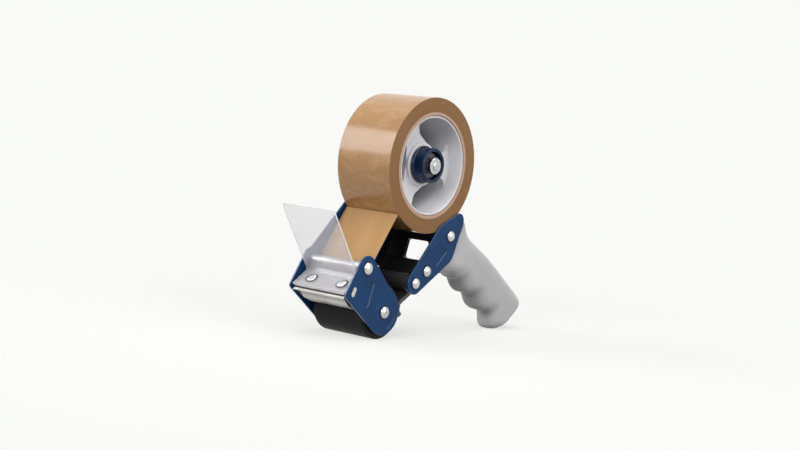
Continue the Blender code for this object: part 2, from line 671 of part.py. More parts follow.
def make_knob(body, surfaces):
    bore = AXLE_THREAD_RADIUS + RUNNING
    flange_front = KNOB_BACK + KNOB_FLANGE_THICKNESS
    profile = [
        (KNOB_BACK, bore),
        (KNOB_BACK, KNOB_FLANGE_RADIUS - KNOB_EDGE),
        (KNOB_BACK + KNOB_EDGE, KNOB_FLANGE_RADIUS),
        (flange_front, KNOB_FLANGE_RADIUS),
        (flange_front + KNOB_EDGE, KNOB_RADIUS),
        (KNOB_FRONT - KNOB_EDGE, KNOB_RADIUS),
        (KNOB_FRONT, KNOB_RADIUS - KNOB_EDGE),
        (KNOB_FRONT, KNOB_RECESS_RADIUS + KNOB_EDGE),
        (KNOB_FRONT - KNOB_EDGE, KNOB_RECESS_RADIUS),
        (KNOB_FLOOR, KNOB_RECESS_RADIUS),
        (KNOB_FLOOR, bore),
    ]
    data = turned("tension_knob", profile, HUB_SEGMENTS, True)
    add_object("tension_knob", data, surfaces["blue_paint"], body, at(ROLL_AXIS))
    back = KNOB_FLOOR + SEAT
    front = back + INSERT_THICKNESS
    insert = [(back, bore), (back, INSERT_RADIUS), (front - KNOB_EDGE, INSERT_RADIUS)]
    insert += [(front, INSERT_RADIUS - KNOB_EDGE), (front, bore)]
    data = turned("knob_insert", insert, SMALL_SEGMENTS, True)
    add_object("knob_insert", data, surfaces["black_plastic"], body, at(ROLL_AXIS))
    nut_back = front + SEAT
    nut_front = nut_back + NUT_HEIGHT
    collar = nut_front + NUT_COLLAR_HEIGHT
    outline = circle_points((0, 0), NUT_RADIUS, NUT_SIDES)
    data = prism("lock_nut", outline, nut_back, nut_front - KNOB_EDGE, [circle_points((0, 0), bore)])
    nut = add_object("lock_nut", data, surfaces["steel"], body, at(ROLL_AXIS))
    middle = (nut_back + nut_front) / 2
    collar_profile = [
        (middle, bore),
        (middle, NUT_COLLAR_RADIUS),
        (collar - KNOB_EDGE, NUT_COLLAR_RADIUS),
        (collar, NUT_COLLAR_RADIUS - KNOB_EDGE),
        (collar, bore),
    ]
    join(nut, "nut_collar", turned("nut_collar", collar_profile, SMALL_SEGMENTS, True), at(ROLL_AXIS))


# Springs

def wire(name, points, radius, surface, body):
    """One unbroken round wire through the points, as a curve with filled ends."""
    curve = bpy.data.curves.new(name, "CURVE")
    curve.dimensions = "3D"
    curve.bevel_depth = radius
    curve.bevel_resolution = 1
    curve.use_fill_caps = True
    spline = curve.splines.new("POLY")
    spline.points.add(len(points) - 1)
    for point, place in zip(spline.points, points):
        point.co = (*place, 1.0)
    return add_object(name, curve, surface, body)


def report_least_gap(name, points, radius):
    """Prints the least gap between the wire and itself, leaving out near neighbours along it."""
    least = math.inf
    run = [0.0]
    for before, after in zip(points, points[1:]):
        run.append(run[-1] + (Vector(after) - Vector(before)).length)
    for first in range(len(points)):
        for second in range(first + 1, len(points)):
            if run[second] - run[first] > NEIGHBOUR_SHARE * radius:
                least = min(least, (Vector(points[first]) - Vector(points[second])).length - 2 * radius)
    print(f"{name}: least gap to itself {least / MM:.2f} mm, wanted over {SPRING_LEAST_GAP / MM:.1f} mm")


def make_brake_spring(body, surfaces):
    start = SPRING_POCKET_FLOOR + SEAT + BRAKE_WIRE_RADIUS
    end = HUB_BOSS_FRONT - WASHER_THICKNESS - 2 * SEAT - BRAKE_WIRE_RADIUS
    count = round(BRAKE_TURNS * CURL_POINTS)
    points = []
    for k in range(count + 1):
        angle = math.tau * k / CURL_POINTS
        y, z = along(ROLL_AXIS, (math.cos(angle), math.sin(angle)), BRAKE_COIL_RADIUS)
        points.append((start + (end - start) * k / count, y, z))
    report_least_gap("brake_spring", points, BRAKE_WIRE_RADIUS)
    wire("brake_spring", points, BRAKE_WIRE_RADIUS, surfaces["steel"], body)


def make_flap_spring(body, surfaces):
    """Torsion spring round the flap shaft: one leg lies on the flap's web, the other hooks over the near plate."""
    x_first = BARREL_NEAR_END + SEAT + FLAP_WIRE_RADIUS
    count = round(FLAP_COIL_TURNS * CURL_POINTS)
    coil = []
    for k in range(count + 1):
        angle = FLAP_COIL_START - math.tau * k / CURL_POINTS
        y, z = along(FLAP_SHAFT, (math.cos(angle), math.sin(angle)), FLAP_COIL_RADIUS)
        coil.append((x_first + FLAP_COIL_PITCH * k / CURL_POINTS, y, z))
    leg_x = PLATE_INNER - SEAT / 2 - FLAP_WIRE_RADIUS
    height = FLAP_SHAFT[1] + FLAP_LEG_RISE
    edge_y = near_plate_edge(height) + SEAT + FLAP_WIRE_RADIUS
    front_x = PLATE_OUTER + SEAT / 2 + FLAP_WIRE_RADIUS
    bend = 2 * FLAP_WIRE_RADIUS
    leg = [
        (leg_x, edge_y - bend / 2, height),
        (leg_x + bend / 2, edge_y, height),
        (front_x - bend / 2, edge_y, height),
        (front_x, edge_y - bend / 2, height),
        (front_x, edge_y - FLAP_LEG_HOOK, height),
    ]
    toe = (coil[0][0], *shifted(FLAP_SHAFT, FLAP_TOE_OFFSET))
    points = [toe] + coil + leg
    report_least_gap("flap_spring", points, FLAP_WIRE_RADIUS)
    wire("flap_spring", points, FLAP_WIRE_RADIUS, surfaces["steel"], body)


# Press roller

def make_press_roller(body, surfaces):
    half = ROLLER_LENGTH / 2
    inner = ROLLER_CORE_RADIUS + RUNNING
    sleeve = [
        (-half, inner),
        (-half, ROLLER_RADIUS - ROLLER_CHAMFER),
        (-half + ROLLER_CHAMFER / 3, ROLLER_RADIUS - ROLLER_CHAMFER / 3),
        (-half + ROLLER_CHAMFER, ROLLER_RADIUS),
        (half - ROLLER_CHAMFER, ROLLER_RADIUS),
        (half - ROLLER_CHAMFER / 3, ROLLER_RADIUS - ROLLER_CHAMFER / 3),
        (half, ROLLER_RADIUS - ROLLER_CHAMFER),
        (half, inner),
    ]
    data = turned("roller_rubber", sleeve, RING_SEGMENTS, True)
    add_object("roller_rubber", data, surfaces["rubber"], body, at(ROLLER_AXIS))
    end = ROLLER_CORE_HUB_LENGTH / 2
    face = ROLLER_CORE_LENGTH / 2
    dish = face - ROLLER_CORE_DISH
    bore = ROLLER_AXLE_RADIUS + RUNNING
    rim = ROLLER_CORE_RADIUS - ROLLER_CORE_RIM
    core = [
        (-end, bore),
        (-end, ROLLER_CORE_HUB_RADIUS),
        (-dish, ROLLER_CORE_HUB_RADIUS),
        (-dish, rim),
        (-face, rim),
        (-face, ROLLER_CORE_RADIUS),
        (face, ROLLER_CORE_RADIUS),
        (face, rim),
        (dish, rim),
        (dish, ROLLER_CORE_HUB_RADIUS),
        (end, ROLLER_CORE_HUB_RADIUS),
        (end, bore),
    ]
    data = turned("roller_core", core, HUB_SEGMENTS, True)
    add_object("roller_core", data, surfaces["black_plastic"], body, at(ROLLER_AXIS))


# Shafts and screws

def make_shaft(name, centre, radius, body, surfaces):
    """Round bar between the side plates, with a threaded hole in each end."""
    end = PLATE_INNER - SEAT
    profile = [
        (-end, SHAFT_HOLE_RADIUS),
        (-end, radius),
        (end, radius),
        (end, SHAFT_HOLE_RADIUS),
        (end - SHAFT_HOLE_DEPTH, SHAFT_HOLE_RADIUS),
        (end - SHAFT_HOLE_DEPTH, 0),
    ]
    profile = [(-end + SHAFT_HOLE_DEPTH, 0), (-end + SHAFT_HOLE_DEPTH, SHAFT_HOLE_RADIUS)] + profile
    data = turned(name, profile, SMALL_SEGMENTS, False)
    add_object(name, data, surfaces["steel"], body, at(centre))


def make_screw(name, centre, side, reach, body, surfaces):
    """Domed screw whose head lies on the outer face of a side plate. Side is 1 for the near plate, -1 for the far one."""
    seat = PLATE_OUTER + SEAT / 2
    dome = [
        (seat + HEAD_HEIGHT * math.sin(turn), HEAD_RADIUS * math.cos(turn))
        for turn in DOME_TURNS
    ]
    profile = [(seat - SEAT / 2 - reach, 0), (seat - SEAT / 2 - reach, SHANK_RADIUS), (seat, SHANK_RADIUS)]
    profile += [(seat, HEAD_RADIUS)] + dome + [(seat + HEAD_HEIGHT, 0)]
    profile = [(x * side, radius) for x, radius in profile]
    data = turned(name, profile, SMALL_SEGMENTS, False)
    add_object(name, data, surfaces["steel"], body, at(centre))


def make_fasteners(body, surfaces):
    into_shaft = PLATE_THICKNESS + SHANK_IN_SHAFT
    for label, side in (("near", 1), ("far", -1)):
        make_screw(f"flap_screw_{label}", FLAP_SHAFT, side, into_shaft, body, surfaces)
        make_screw(f"roller_screw_{label}", ROLLER_AXIS, side, into_shaft, body, surfaces)
    through_tongue = PLATE_THICKNESS + TONGUE_THICKNESS + SHANK_IN_SHAFT / 2
    make_screw("handle_screw_top", SCREW_A, 1, through_tongue + SHANK_IN_SHAFT / 2, body, surfaces)
    make_screw("handle_screw_middle", SCREW_B, 1, through_tongue, body, surfaces)
    make_screw("handle_screw_low", SCREW_C, 1, through_tongue, body, surfaces)
    for label, place in (("top", SCREW_A), ("middle", FRAME_SCREW_B), ("low", SCREW_C)):
        make_screw(f"frame_screw_{label}", place, -1, PLATE_THICKNESS + SHANK_IN_SHAFT / 2, body, surfaces)


# Side plates

def front_plate_outline():
    return belt([
        (NOSE, NOSE_RADIUS),
        (ROLLER_AXIS, ROLLER_LOBE_RADIUS),
        (WAIST, -PLATE_WAIST_RADIUS),
        (FLAP_SHAFT, FLAP_LOBE_RADIUS),
    ])


def rear_plate_outline(inset=0.0):
    return belt([
        (SCREW_C, REAR_LOBE_RADIUS - inset),
        (PLATE_ELBOW, PLATE_ELBOW_RADIUS - inset),
        (PLATE_TOP, PLATE_TOP_RADIUS - inset),
        (PLATE_SHOULDER, PLATE_SHOULDER_RADIUS - inset),
    ])


def frame_plate_outline():
    return belt([
        (NOSE, NOSE_RADIUS),
        (ROLLER_AXIS, ROLLER_LOBE_RADIUS),
        (UNDER_FILLET, -UNDER_FILLET_RADIUS),
        (SCREW_C, REAR_LOBE_RADIUS),
        (FRAME_SCREW_B, FRAME_HEEL_RADIUS),
        (PLATE_ELBOW, PLATE_ELBOW_RADIUS),
        (ROLL_AXIS, HUB_LOBE_RADIUS),
        (HUB_FILLET, -PLATE_WAIST_RADIUS),
        (ARM_FILLET, -ARM_FILLET_RADIUS),
        (FLAP_SHAFT, FLAP_LOBE_RADIUS),
    ])


def near_plate_edge(height):
    """How far back the near front plate reaches at this height."""
    points = front_plate_outline()
    crossings = []
    for first, second in zip(points, points[1:] + points[:1]):
        if (first[1] - height) * (second[1] - height) < 0:
            share = (height - first[1]) / (second[1] - first[1])
            crossings.append(first[0] + (second[0] - first[0]) * share)
    return max(crossings)


def tab_slot():
    return slot_points(TAB, TAB_LENGTH + 2 * SEAT, TAB_WIDTH + 2 * SEAT, TAB_SLOPE)


def make_side_plates(body, surfaces):
    shaft_holes = [circle_points(FLAP_SHAFT, PLATE_HOLE_RADIUS), circle_points(ROLLER_AXIS, PLATE_HOLE_RADIUS)]
    data = prism("front_side_plate", front_plate_outline(), PLATE_INNER, PLATE_OUTER, shaft_holes + [tab_slot()])
    front = add_object("front_side_plate", data, surfaces["blue_paint"], body)
    middle = ((FLAP_SHAFT[0] + ROLLER_AXIS[0]) / 2, (FLAP_SHAFT[1] + ROLLER_AXIS[1]) / 2)
    panel = belt([
        (shifted(middle, FRONT_PANEL_LOW_LEFT), EMBOSS_RADIUS),
        (shifted(middle, FRONT_PANEL_LOW_RIGHT), EMBOSS_RADIUS),
        (shifted(middle, FRONT_PANEL_HIGH_RIGHT), EMBOSS_RADIUS),
        (shifted(middle, FRONT_PANEL_HIGH_LEFT), EMBOSS_RADIUS),
    ])
    cut(front, "front_panel", prism("front_panel", panel, PLATE_OUTER - EMBOSS_DEPTH, PLATE_OUTER + OVERRUN))
    arc = arc_points(ROLLER_AXIS, GROOVE_RADIUS, GROOVE_START, GROOVE_SWEEP)
    groove = ribbon(arc, GROOVE_WIDTH)
    cut(front, "front_groove", prism("front_groove", groove, PLATE_OUTER - EMBOSS_DEPTH, PLATE_OUTER + OVERRUN))
    rear_holes = [circle_points(place, PLATE_HOLE_RADIUS) for place in (SCREW_A, SCREW_B, SCREW_C)]
    data = prism("rear_side_plate", rear_plate_outline(), PLATE_INNER, PLATE_OUTER, rear_holes)
    rear = add_object("rear_side_plate", data, surfaces["blue_paint"], body)
    panel = belt([(shifted(SCREW_B, REAR_PANEL_LOW), EMBOSS_RADIUS),
                  (shifted(SCREW_B, REAR_PANEL_BACK), EMBOSS_RADIUS),
                  (shifted(SCREW_B, REAR_PANEL_HIGH), EMBOSS_RADIUS),
                  (shifted(SCREW_B, REAR_PANEL_FRONT), EMBOSS_RADIUS)])
    cut(rear, "rear_panel", prism("rear_panel", panel, PLATE_OUTER - EMBOSS_DEPTH, PLATE_OUTER + OVERRUN))
    holes = shaft_holes + [tab_slot(), circle_points(ROLL_AXIS, HUB_AXLE_RADIUS + SEAT)]
    holes += [circle_points(place, PLATE_HOLE_RADIUS) for place in (SCREW_A, FRAME_SCREW_B, SCREW_C)]
    data = prism("frame_plate", frame_plate_outline(), -PLATE_OUTER, -PLATE_INNER, holes)
    add_object("frame_plate", data, surfaces["blue_paint"], body)


# Tape bed

def make_tape_bed(body, surfaces):
    """Moulded body between the plates: a leaning back wall with a window, a floor, and a lip behind the roller."""
    near_end = PLATE_INNER - SEAT - TONGUE_THICKNESS - SEAT
    far_end = -PLATE_INNER + SEAT
    path = rounded_path([
        (BED_WALL_TOP, 0),
        (BED_KNEE, BED_KNEE_RADIUS),
        (BED_HEEL, BED_HEEL_RADIUS),
        (BED_FLOOR_END, BED_FLOOR_RADIUS),
        (shifted(ROLLER_AXIS, LIP_TURN_OFFSET), LIP_RADIUS),
        (shifted(ROLLER_AXIS, LIP_OFFSET), LIP_RADIUS),
        (shifted(ROLLER_AXIS, LIP_END_OFFSET), 0),
    ])
    data = prism("tape_bed", ribbon(path, BED_THICKNESS), far_end + BED_CHEEK / 2, near_end)
    bed = add_object("tape_bed", data, surfaces["black_plastic"], body)
    bar_back = shifted(SCREW_A, (BAR_DEPTH, BAR_RISE))
    bar = belt([(SCREW_A, BAR_RADIUS), (shifted(SCREW_A, (BAR_DEPTH, 0)), BAR_RADIUS - BAR_RISE / 2),
                (bar_back, BAR_RADIUS - BAR_RISE / 2)])
    join(bed, "bed_bar", prism("bed_bar", bar, far_end + BED_CHEEK / 3, near_end - SEAT))
    bar_corner = (SCREW_A, BED_FLANGE_RADIUS)
    bar_end = (bar_back, BAR_RADIUS)
    foot = (FRAME_SCREW_B, BED_FLANGE_RADIUS - SEAT)
    front = (SCREW_C, BED_FLANGE_RADIUS)
    flange = belt([front, foot, bar_end, bar_corner, (BED_INNER_CORNER, -BED_INNER_RADIUS)])
    join(bed, "bed_far_flange", prism("bed_far_flange", flange, far_end, far_end + BED_CHEEK))
    cheek = belt([(CHEEK_FOOT, BAR_RADIUS), bar_end, (SCREW_A, BAR_RADIUS)])
    join(bed, "bed_near_cheek", prism("bed_near_cheek", cheek, near_end - BED_CHEEK, near_end - SEAT / 2))
    tube = belt([(SCREW_C, BED_TUBE_RADIUS), (BED_FLOOR_END, 2 * SEAT)])
    join(bed, "bed_tube", prism("bed_tube", tube, far_end + BED_CHEEK / 4, near_end - SEAT - SEAT / 2))
    boss = circle_points(SCREW_C, BED_BOSS_RADIUS)
    join(bed, "bed_boss", prism("bed_boss", boss, near_end - BED_CHEEK / 2, PLATE_INNER - SEAT))
    half = WINDOW_HALF_WIDTH - WINDOW_CORNER
    low, high = WINDOW_LOW + WINDOW_CORNER, WINDOW_HIGH - WINDOW_CORNER
    window = belt([((-half, low), WINDOW_CORNER), ((half, low), WINDOW_CORNER),
                   ((half, high), WINDOW_CORNER), ((-half, high), WINDOW_CORNER)])
    data = prism("bed_window", window, BED_HEEL[0] - BED_FLOOR_RADIUS, BED_WALL_TOP[0] + BED_FLOOR_RADIUS)
    cutter = as_cutter("bed_window", data)
    cutter.rotation_euler = (0, 0, math.pi / 2)
    boolean(bed, cutter, "DIFFERENCE")
    for label, place in (("top", SCREW_A), ("middle", SCREW_B), ("low", SCREW_C)):
        hole = prism(f"near_hole_{label}", circle_points(place, SHANK_RADIUS + SEAT),
                     near_end - SHANK_IN_SHAFT, PLATE_INNER + OVERRUN)
        cut(bed, f"near_hole_{label}", hole)
    for label, place in (("top", SCREW_A), ("middle", FRAME_SCREW_B), ("low", SCREW_C)):
        hole = prism(f"far_hole_{label}", circle_points(place, SHANK_RADIUS + SEAT),
                     far_end - OVERRUN, far_end + SHANK_IN_SHAFT / 2 + SEAT)
        cut(bed, f"far_hole_{label}", hole)


# Handle

def smooth_share(value):
    value = min(max(value, 0.0), 1.0)
    return value * value * (3 - 2 * value)


def grip_edges(s):
    """Front and back reach of the grip, square to its axis, at the distance s along it."""
    lobes = LOBE_HEIGHT * math.cos(math.tau * (s - LOBE_FIRST) / LOBE_PITCH)
    if s < LOBE_FIRST:
        lobes *= smooth_share((s - LOBE_FADE_START) / LOBE_FADE_RUN)
    heel = HEEL_DROP * smooth_share((s - GRIP_LENGTH + HEEL_RUN) / (HEEL_RUN * HEEL_RISE_SHARE))
    front = -LOBE_HEIGHT / 4 - lobes - heel
    arch = GRIP_ARCH * math.sin(math.pi * min(max(s / GRIP_LENGTH, 0.0), 1.0))
    back = GRIP_DEPTH - 2 * GRIP_ARCH * max(s, 0.0) / GRIP_LENGTH + arch
    flare = min(max(s / GRIP_ROOT, 0.0), 1.0)
    return front - ROOT_FLARE_FRONT * flare ** FLARE_FRONT_POWER, back + ROOT_FLARE_BACK * flare ** FLARE_BACK_POWER


def grip_ring(s, swell, side_share):
    """Points of one section of the grip, a rounded rectangle, shrunk by swell."""
    way = (math.cos(GRIP_ANGLE), math.sin(GRIP_ANGLE))
    up = (-way[1], way[0])
    front, back = grip_edges(min(s, GRIP_LENGTH))
    middle, depth = (front + back) / 2, (back - front) / 2
    width = GRIP_ROOT_HALF_WIDTH + (GRIP_HALF_WIDTH - GRIP_ROOT_HALF_WIDTH) * side_share
    slant = END_SLANT_SHARE * smooth_share(s / GRIP_LENGTH)
    depth -= END_ROUND * (1 - swell)
    width -= END_ROUND * (1 - swell)
    corner = min(GRIP_ROUND, depth, width) * ROUND_SHARE
    corners = [((-width + corner, -depth + corner), corner), ((width - corner, -depth + corner), corner),
               ((width - corner, depth - corner), corner), ((-width + corner, depth - corner), corner)]
    ring = []
    for index, (centre, radius) in enumerate(corners):
        start = math.pi + index * math.pi / 2
        ring += [(centre[0] + radius * math.cos(start + math.pi / 2 * k / GRIP_CORNER_STEPS),
                  centre[1] + radius * math.sin(start + math.pi / 2 * k / GRIP_CORNER_STEPS))
                 for k in range(GRIP_CORNER_STEPS + 1)]
    points = []
    for across, height in ring:
        reach = s + slant * height
        y, z = along(along(GRIP_START, way, reach), up, middle + height)
        points.append((GRIP_CENTRE_X + across, y, z))
    return points


def make_handle(body, surfaces):
    """Moulded grip with three finger lobes, lofted from rounded sections, and a flat tongue under the near plate."""
    run = GRIP_LENGTH - END_ROUND - GRIP_ROOT
    stations = [(GRIP_ROOT + run * k / GRIP_SECTIONS, 1.0) for k in range(GRIP_SECTIONS + 1)]
    for k in range(1, END_SECTIONS + 1):
        turn = math.pi / 2 * k / END_SECTIONS
        stations.append((GRIP_LENGTH - END_ROUND * (1 - math.sin(turn)), math.cos(turn)))
    bm = bmesh.new()
    rings = []
    for s, swell in stations:
        side_share = smooth_share((s - GRIP_ROOT) / -GRIP_ROOT)
        swell = 1.0 - END_SHARE * (1.0 - swell)
        rings.append([bm.verts.new(point) for point in grip_ring(s, swell, side_share)])
    for first, second in zip(rings, rings[1:]):
        for k in range(len(first)):
            bm.faces.new((first[k - 1], first[k], second[k], second[k - 1]))
    bm.faces.new(rings[0])
    bm.faces.new(rings[-1])
    data = finish("handle_grip", bm, math.radians(50))
    grip = add_object("handle_grip", data, surfaces["grey_plastic"], body)
    near = PLATE_INNER - SEAT
    tongue = belt([
        (SCREW_B, REAR_LOBE_RADIUS - TONGUE_INSET * 2),
        (shifted(PLATE_ELBOW, (TONGUE_REACH, 0)), PLATE_ELBOW_RADIUS - TONGUE_INSET),
        (PLATE_TOP, PLATE_TOP_RADIUS - TONGUE_INSET),
    ])
    holes = [circle_points(place, SHANK_RADIUS + SEAT) for place in (SCREW_A, SCREW_B)]
    join(grip, "handle_tongue", prism("handle_tongue", tongue, near - TONGUE_THICKNESS, near, holes))
    clearing = circle_points((0, 0), TAPE_ROLL_RADIUS + ROLL_CLEARANCE, RING_SEGMENTS)
    cut(grip, "roll_clearing", prism("roll_clearing", clearing, 0, PLATE_OUTER + OVERRUN), at(ROLL_AXIS))
    reach = GRIP_LENGTH + GRIP_DEPTH
    below = [(0, -ROLLER_RADIUS), (2 * reach, -ROLLER_RADIUS), (2 * reach, 0), (0, 0)]
    cut(grip, "heel_flat", prism("heel_flat", below, -PLATE_OUTER, 2 * PLATE_OUTER))


# Guard flap

def flap_path():
    barrel = arc_points(FLAP_SHAFT, BARREL_RADIUS, BARREL_START, BARREL_SWEEP)
    web = rounded_path([
        (barrel[-1], 0),
        (shifted(FLAP_SHAFT, FLAP_WEB_OFFSET), FLAP_WEB_RADIUS),
        (FLAP_BEND, SHEET),
        (along(FLAP_BEND, PLATE_WAY, FLAP_PLATE_LENGTH), 0),
    ])
    return barrel + web[1:]


def make_guard_flap(body, surfaces):
    path = flap_path()
    place = at(FLAP_SHAFT)
    centred = [(y - FLAP_SHAFT[0], z - FLAP_SHAFT[1]) for y, z in ribbon(path, SHEET)]
    data = prism("flap_plate", centred, -FLAP_HALF_WIDTH, FLAP_HALF_WIDTH)
    flap = add_object("flap_plate", data, surfaces["steel"], body, place)
    notch = circle_points((0, 0), BARREL_RADIUS + SHEET)
    cut(flap, "spring_notch", prism("spring_notch", notch, BARREL_NEAR_END, FLAP_HALF_WIDTH + OVERRUN), place)
    lift = SHEET / 2 + SEAT + SHIELD_THICKNESS / 2
    corner = along(along(FLAP_BEND, PLATE_UP, lift), PLATE_WAY, -SHIELD_SETBACK)
    shield_path = rounded_path([
        (along(corner, PLATE_WAY, SHIELD_FLANGE_LENGTH), 0),
        (corner, SHIELD_BEND_RADIUS),
        (along(corner, PLATE_UP, SHIELD_HEIGHT), 0),
    ])
    outline = [(y - FLAP_SHAFT[0], z - FLAP_SHAFT[1]) for y, z in ribbon(shield_path, SHIELD_THICKNESS)]
    data = prism("clear_shield", outline, -SHIELD_HALF_WIDTH, SHIELD_HALF_WIDTH)
    shield = add_object("clear_shield", data, surfaces["clear_plastic"], body, place)
    for side in (-1, 1):
        corner_cut(shield, side, corner)
    seat = along(along(FLAP_BEND, PLATE_WAY, RIVET_SETBACK), PLATE_UP, lift + SHIELD_THICKNESS / 2 + SEAT / 3)
    for label, x in (("far", RIVET_EDGE_FAR - FLAP_HALF_WIDTH), ("near", FLAP_HALF_WIDTH - RIVET_EDGE_NEAR)):
        make_rivet(label, x, seat, lift, flap, shield, body, surfaces)


def corner_cut(shield, side, corner):
    """Rounds one upper corner of the shield."""
    radius = SHIELD_CORNER_RADIUS
    top = SHIELD_HEIGHT
    inner = SHIELD_HALF_WIDTH - radius
    outline = arc_points((inner, top - radius), radius, 0, math.pi / 2)
    outline += [(inner, top + OVERRUN), (SHIELD_HALF_WIDTH + OVERRUN, top + OVERRUN)]
    outline += [(SHIELD_HALF_WIDTH + OVERRUN, top - radius)]
    bm = bmesh.new()
    rings = []
    for depth in (-OVERRUN, OVERRUN):
        ring = []
        for across, height in outline:
            y, z = along(along(corner, PLATE_UP, height), PLATE_WAY, depth)
            ring.append(bm.verts.new((across * side, y, z)))
        rings.append(ring)
    for k in range(len(outline)):
        bm.faces.new((rings[0][k - 1], rings[0][k], rings[1][k], rings[1][k - 1]))
    bm.faces.new(rings[0])
    bm.faces.new(rings[1])
    name = "shield_corner_near" if side > 0 else "shield_corner_far"
    cut(shield, name, finish(name, bm))


def make_rivet(label, x, seat, lift, flap, shield, body, surfaces):
    """Domed rivet through the shield's flange and the flap, turned about its own axis, square to the flap."""
    name = f"flap_rivet_{label}"
    depth = lift + SHIELD_THICKNESS / 2 + SHEET / 2 + SEAT / 3
    dome = [
        (RIVET_HEAD_HEIGHT * math.sin(turn), RIVET_HEAD_RADIUS * math.cos(turn))
        for turn in DOME_TURNS
    ]
    profile = [(-depth, 0), (-depth, RIVET_SHANK_RADIUS), (0, RIVET_SHANK_RADIUS), (0, RIVET_HEAD_RADIUS)]
    profile += dome + [(RIVET_HEAD_HEIGHT, 0)]
    turn = Vector((1, 0, 0)).rotation_difference(Vector((0, *PLATE_UP))).to_euler()
    rivet = add_object(name, turned(name, profile, SMALL_SEGMENTS, False), surfaces["steel"], body, at(seat, x))
    rivet.rotation_euler = turn
    hole = [(-depth - OVERRUN, 0), (-depth - OVERRUN, RIVET_SHANK_RADIUS + SEAT)]
    hole += [(OVERRUN, RIVET_SHANK_RADIUS + SEAT), (OVERRUN, 0)]
    for target in (flap, shield):
        cutter_name = f"rivet_hole_{label}_{target.name}"
        cutter = as_cutter(cutter_name, turned(cutter_name, hole, SMALL_SEGMENTS, False), at(seat, x))
        cutter.rotation_euler = turn
        boolean(target, cutter, "DIFFERENCE")


# Blade, holder and strip of tape

def below_flap(drop):
    """Point level with the flap's bend, this far below the flap plate's middle."""
    return along(FLAP_BEND, PLATE_UP, -drop)


STRIP_DROP = SHEET / 2 + SEAT + STRIP_THICKNESS / 2
BLADE_DROP = STRIP_DROP + STRIP_THICKNESS / 2 + SEAT + BLADE_THICKNESS / 2
SHELF_DROP = BLADE_DROP + BLADE_THICKNESS / 2 + SEAT + HOLDER_THICKNESS / 2


def make_cutting_blade(body, surfaces):
    """Strip of steel with a row of pointed teeth along its front edge."""
    front = along(below_flap(BLADE_DROP), PLATE_WAY, FLAP_PLATE_LENGTH + BLADE_REACH)
    pitch = 2 * BLADE_HALF_WIDTH / TOOTH_COUNT
    outline = [(-BLADE_HALF_WIDTH, BLADE_LENGTH)]
    for tooth in range(TOOTH_COUNT):
        start = -BLADE_HALF_WIDTH + tooth * pitch
        outline += [(start, TOOTH_HEIGHT), (start + pitch / 2, 0)]
    outline += [(BLADE_HALF_WIDTH, TOOTH_HEIGHT), (BLADE_HALF_WIDTH, BLADE_LENGTH)]
    bm = bmesh.new()
    rings = []
    for height in (-BLADE_THICKNESS / 2, BLADE_THICKNESS / 2):
        ring = []
        for x, back in outline:
            y, z = along(along(front, PLATE_WAY, -back), PLATE_UP, height)
            ring.append(bm.verts.new((x, y, z)))
        rings.append(ring)
    for k in range(len(outline)):
        bm.faces.new((rings[0][k - 1], rings[0][k], rings[1][k], rings[1][k - 1]))
    for ring in rings:
        edges = [bm.edges.get((ring[k - 1], ring[k])) for k in range(len(ring))]
        bmesh.ops.triangle_fill(bm, use_beauty=True, use_dissolve=False, edges=edges)
    add_object("cutting_blade", finish("cutting_blade", bm, math.radians(20)), surfaces["steel"], body)


def make_blade_holder(body, surfaces):
    """Bent sheet: a shelf under the blade, a shorter skirt over the roller, and a tabbed ear at each side plate."""
    shelf_front = along(below_flap(SHELF_DROP), PLATE_WAY, FLAP_PLATE_LENGTH - SHEET)
    shelf_back = along(shelf_front, PLATE_WAY, -HOLDER_SHELF_LENGTH)
    path = rounded_path([
        (shelf_back, 0),
        (shelf_front, HOLDER_BEND_RADIUS),
        (shifted(ROLLER_AXIS, SKIRT_MIDDLE), SKIRT_RADIUS / 2),
        (shifted(ROLLER_AXIS, SKIRT_END), 0),
    ])
    data = prism("blade_holder", ribbon(path, HOLDER_THICKNESS), -SKIRT_HALF_WIDTH, SKIRT_HALF_WIDTH)
    holder = add_object("blade_holder", data, surfaces["holder_steel"], body)
    outer = PLATE_INNER - SEAT
    shelf_ends = [along(shelf_back, PLATE_WAY, SEAT), along(shelf_front, PLATE_WAY, -HOLDER_THICKNESS)]
    shelf = ribbon(shelf_ends, HOLDER_THICKNESS * SHELF_SHARE)
    join(holder, "holder_shelf", prism("holder_shelf", shelf, -outer + EAR_THICKNESS / 2, outer - EAR_THICKNESS / 2))
    ear = belt([
        (shifted(ROLLER_AXIS, EAR_FRONT), EAR_RADIUS),
        (shifted(ROLLER_AXIS, EAR_LOW), EAR_RADIUS * 3 / 2),
        (shifted(ROLLER_AXIS, EAR_BACK), EAR_RADIUS),
        (shifted(ROLLER_AXIS, EAR_TOP), EAR_RADIUS),
    ])
    tab = slot_points(TAB, TAB_LENGTH, TAB_WIDTH, TAB_SLOPE)
    for label, side in (("near", 1), ("far", -1)):
        low, high = sorted((side * (outer - EAR_THICKNESS), side * outer))
        join(holder, f"ear_{label}", prism(f"ear_{label}", ear, low, high))
        low, high = sorted((side * (outer - EAR_THICKNESS / 2), side * (PLATE_OUTER + TAB_PROUD)))
        join(holder, f"tab_{label}", prism(f"tab_{label}", tab, low, high))


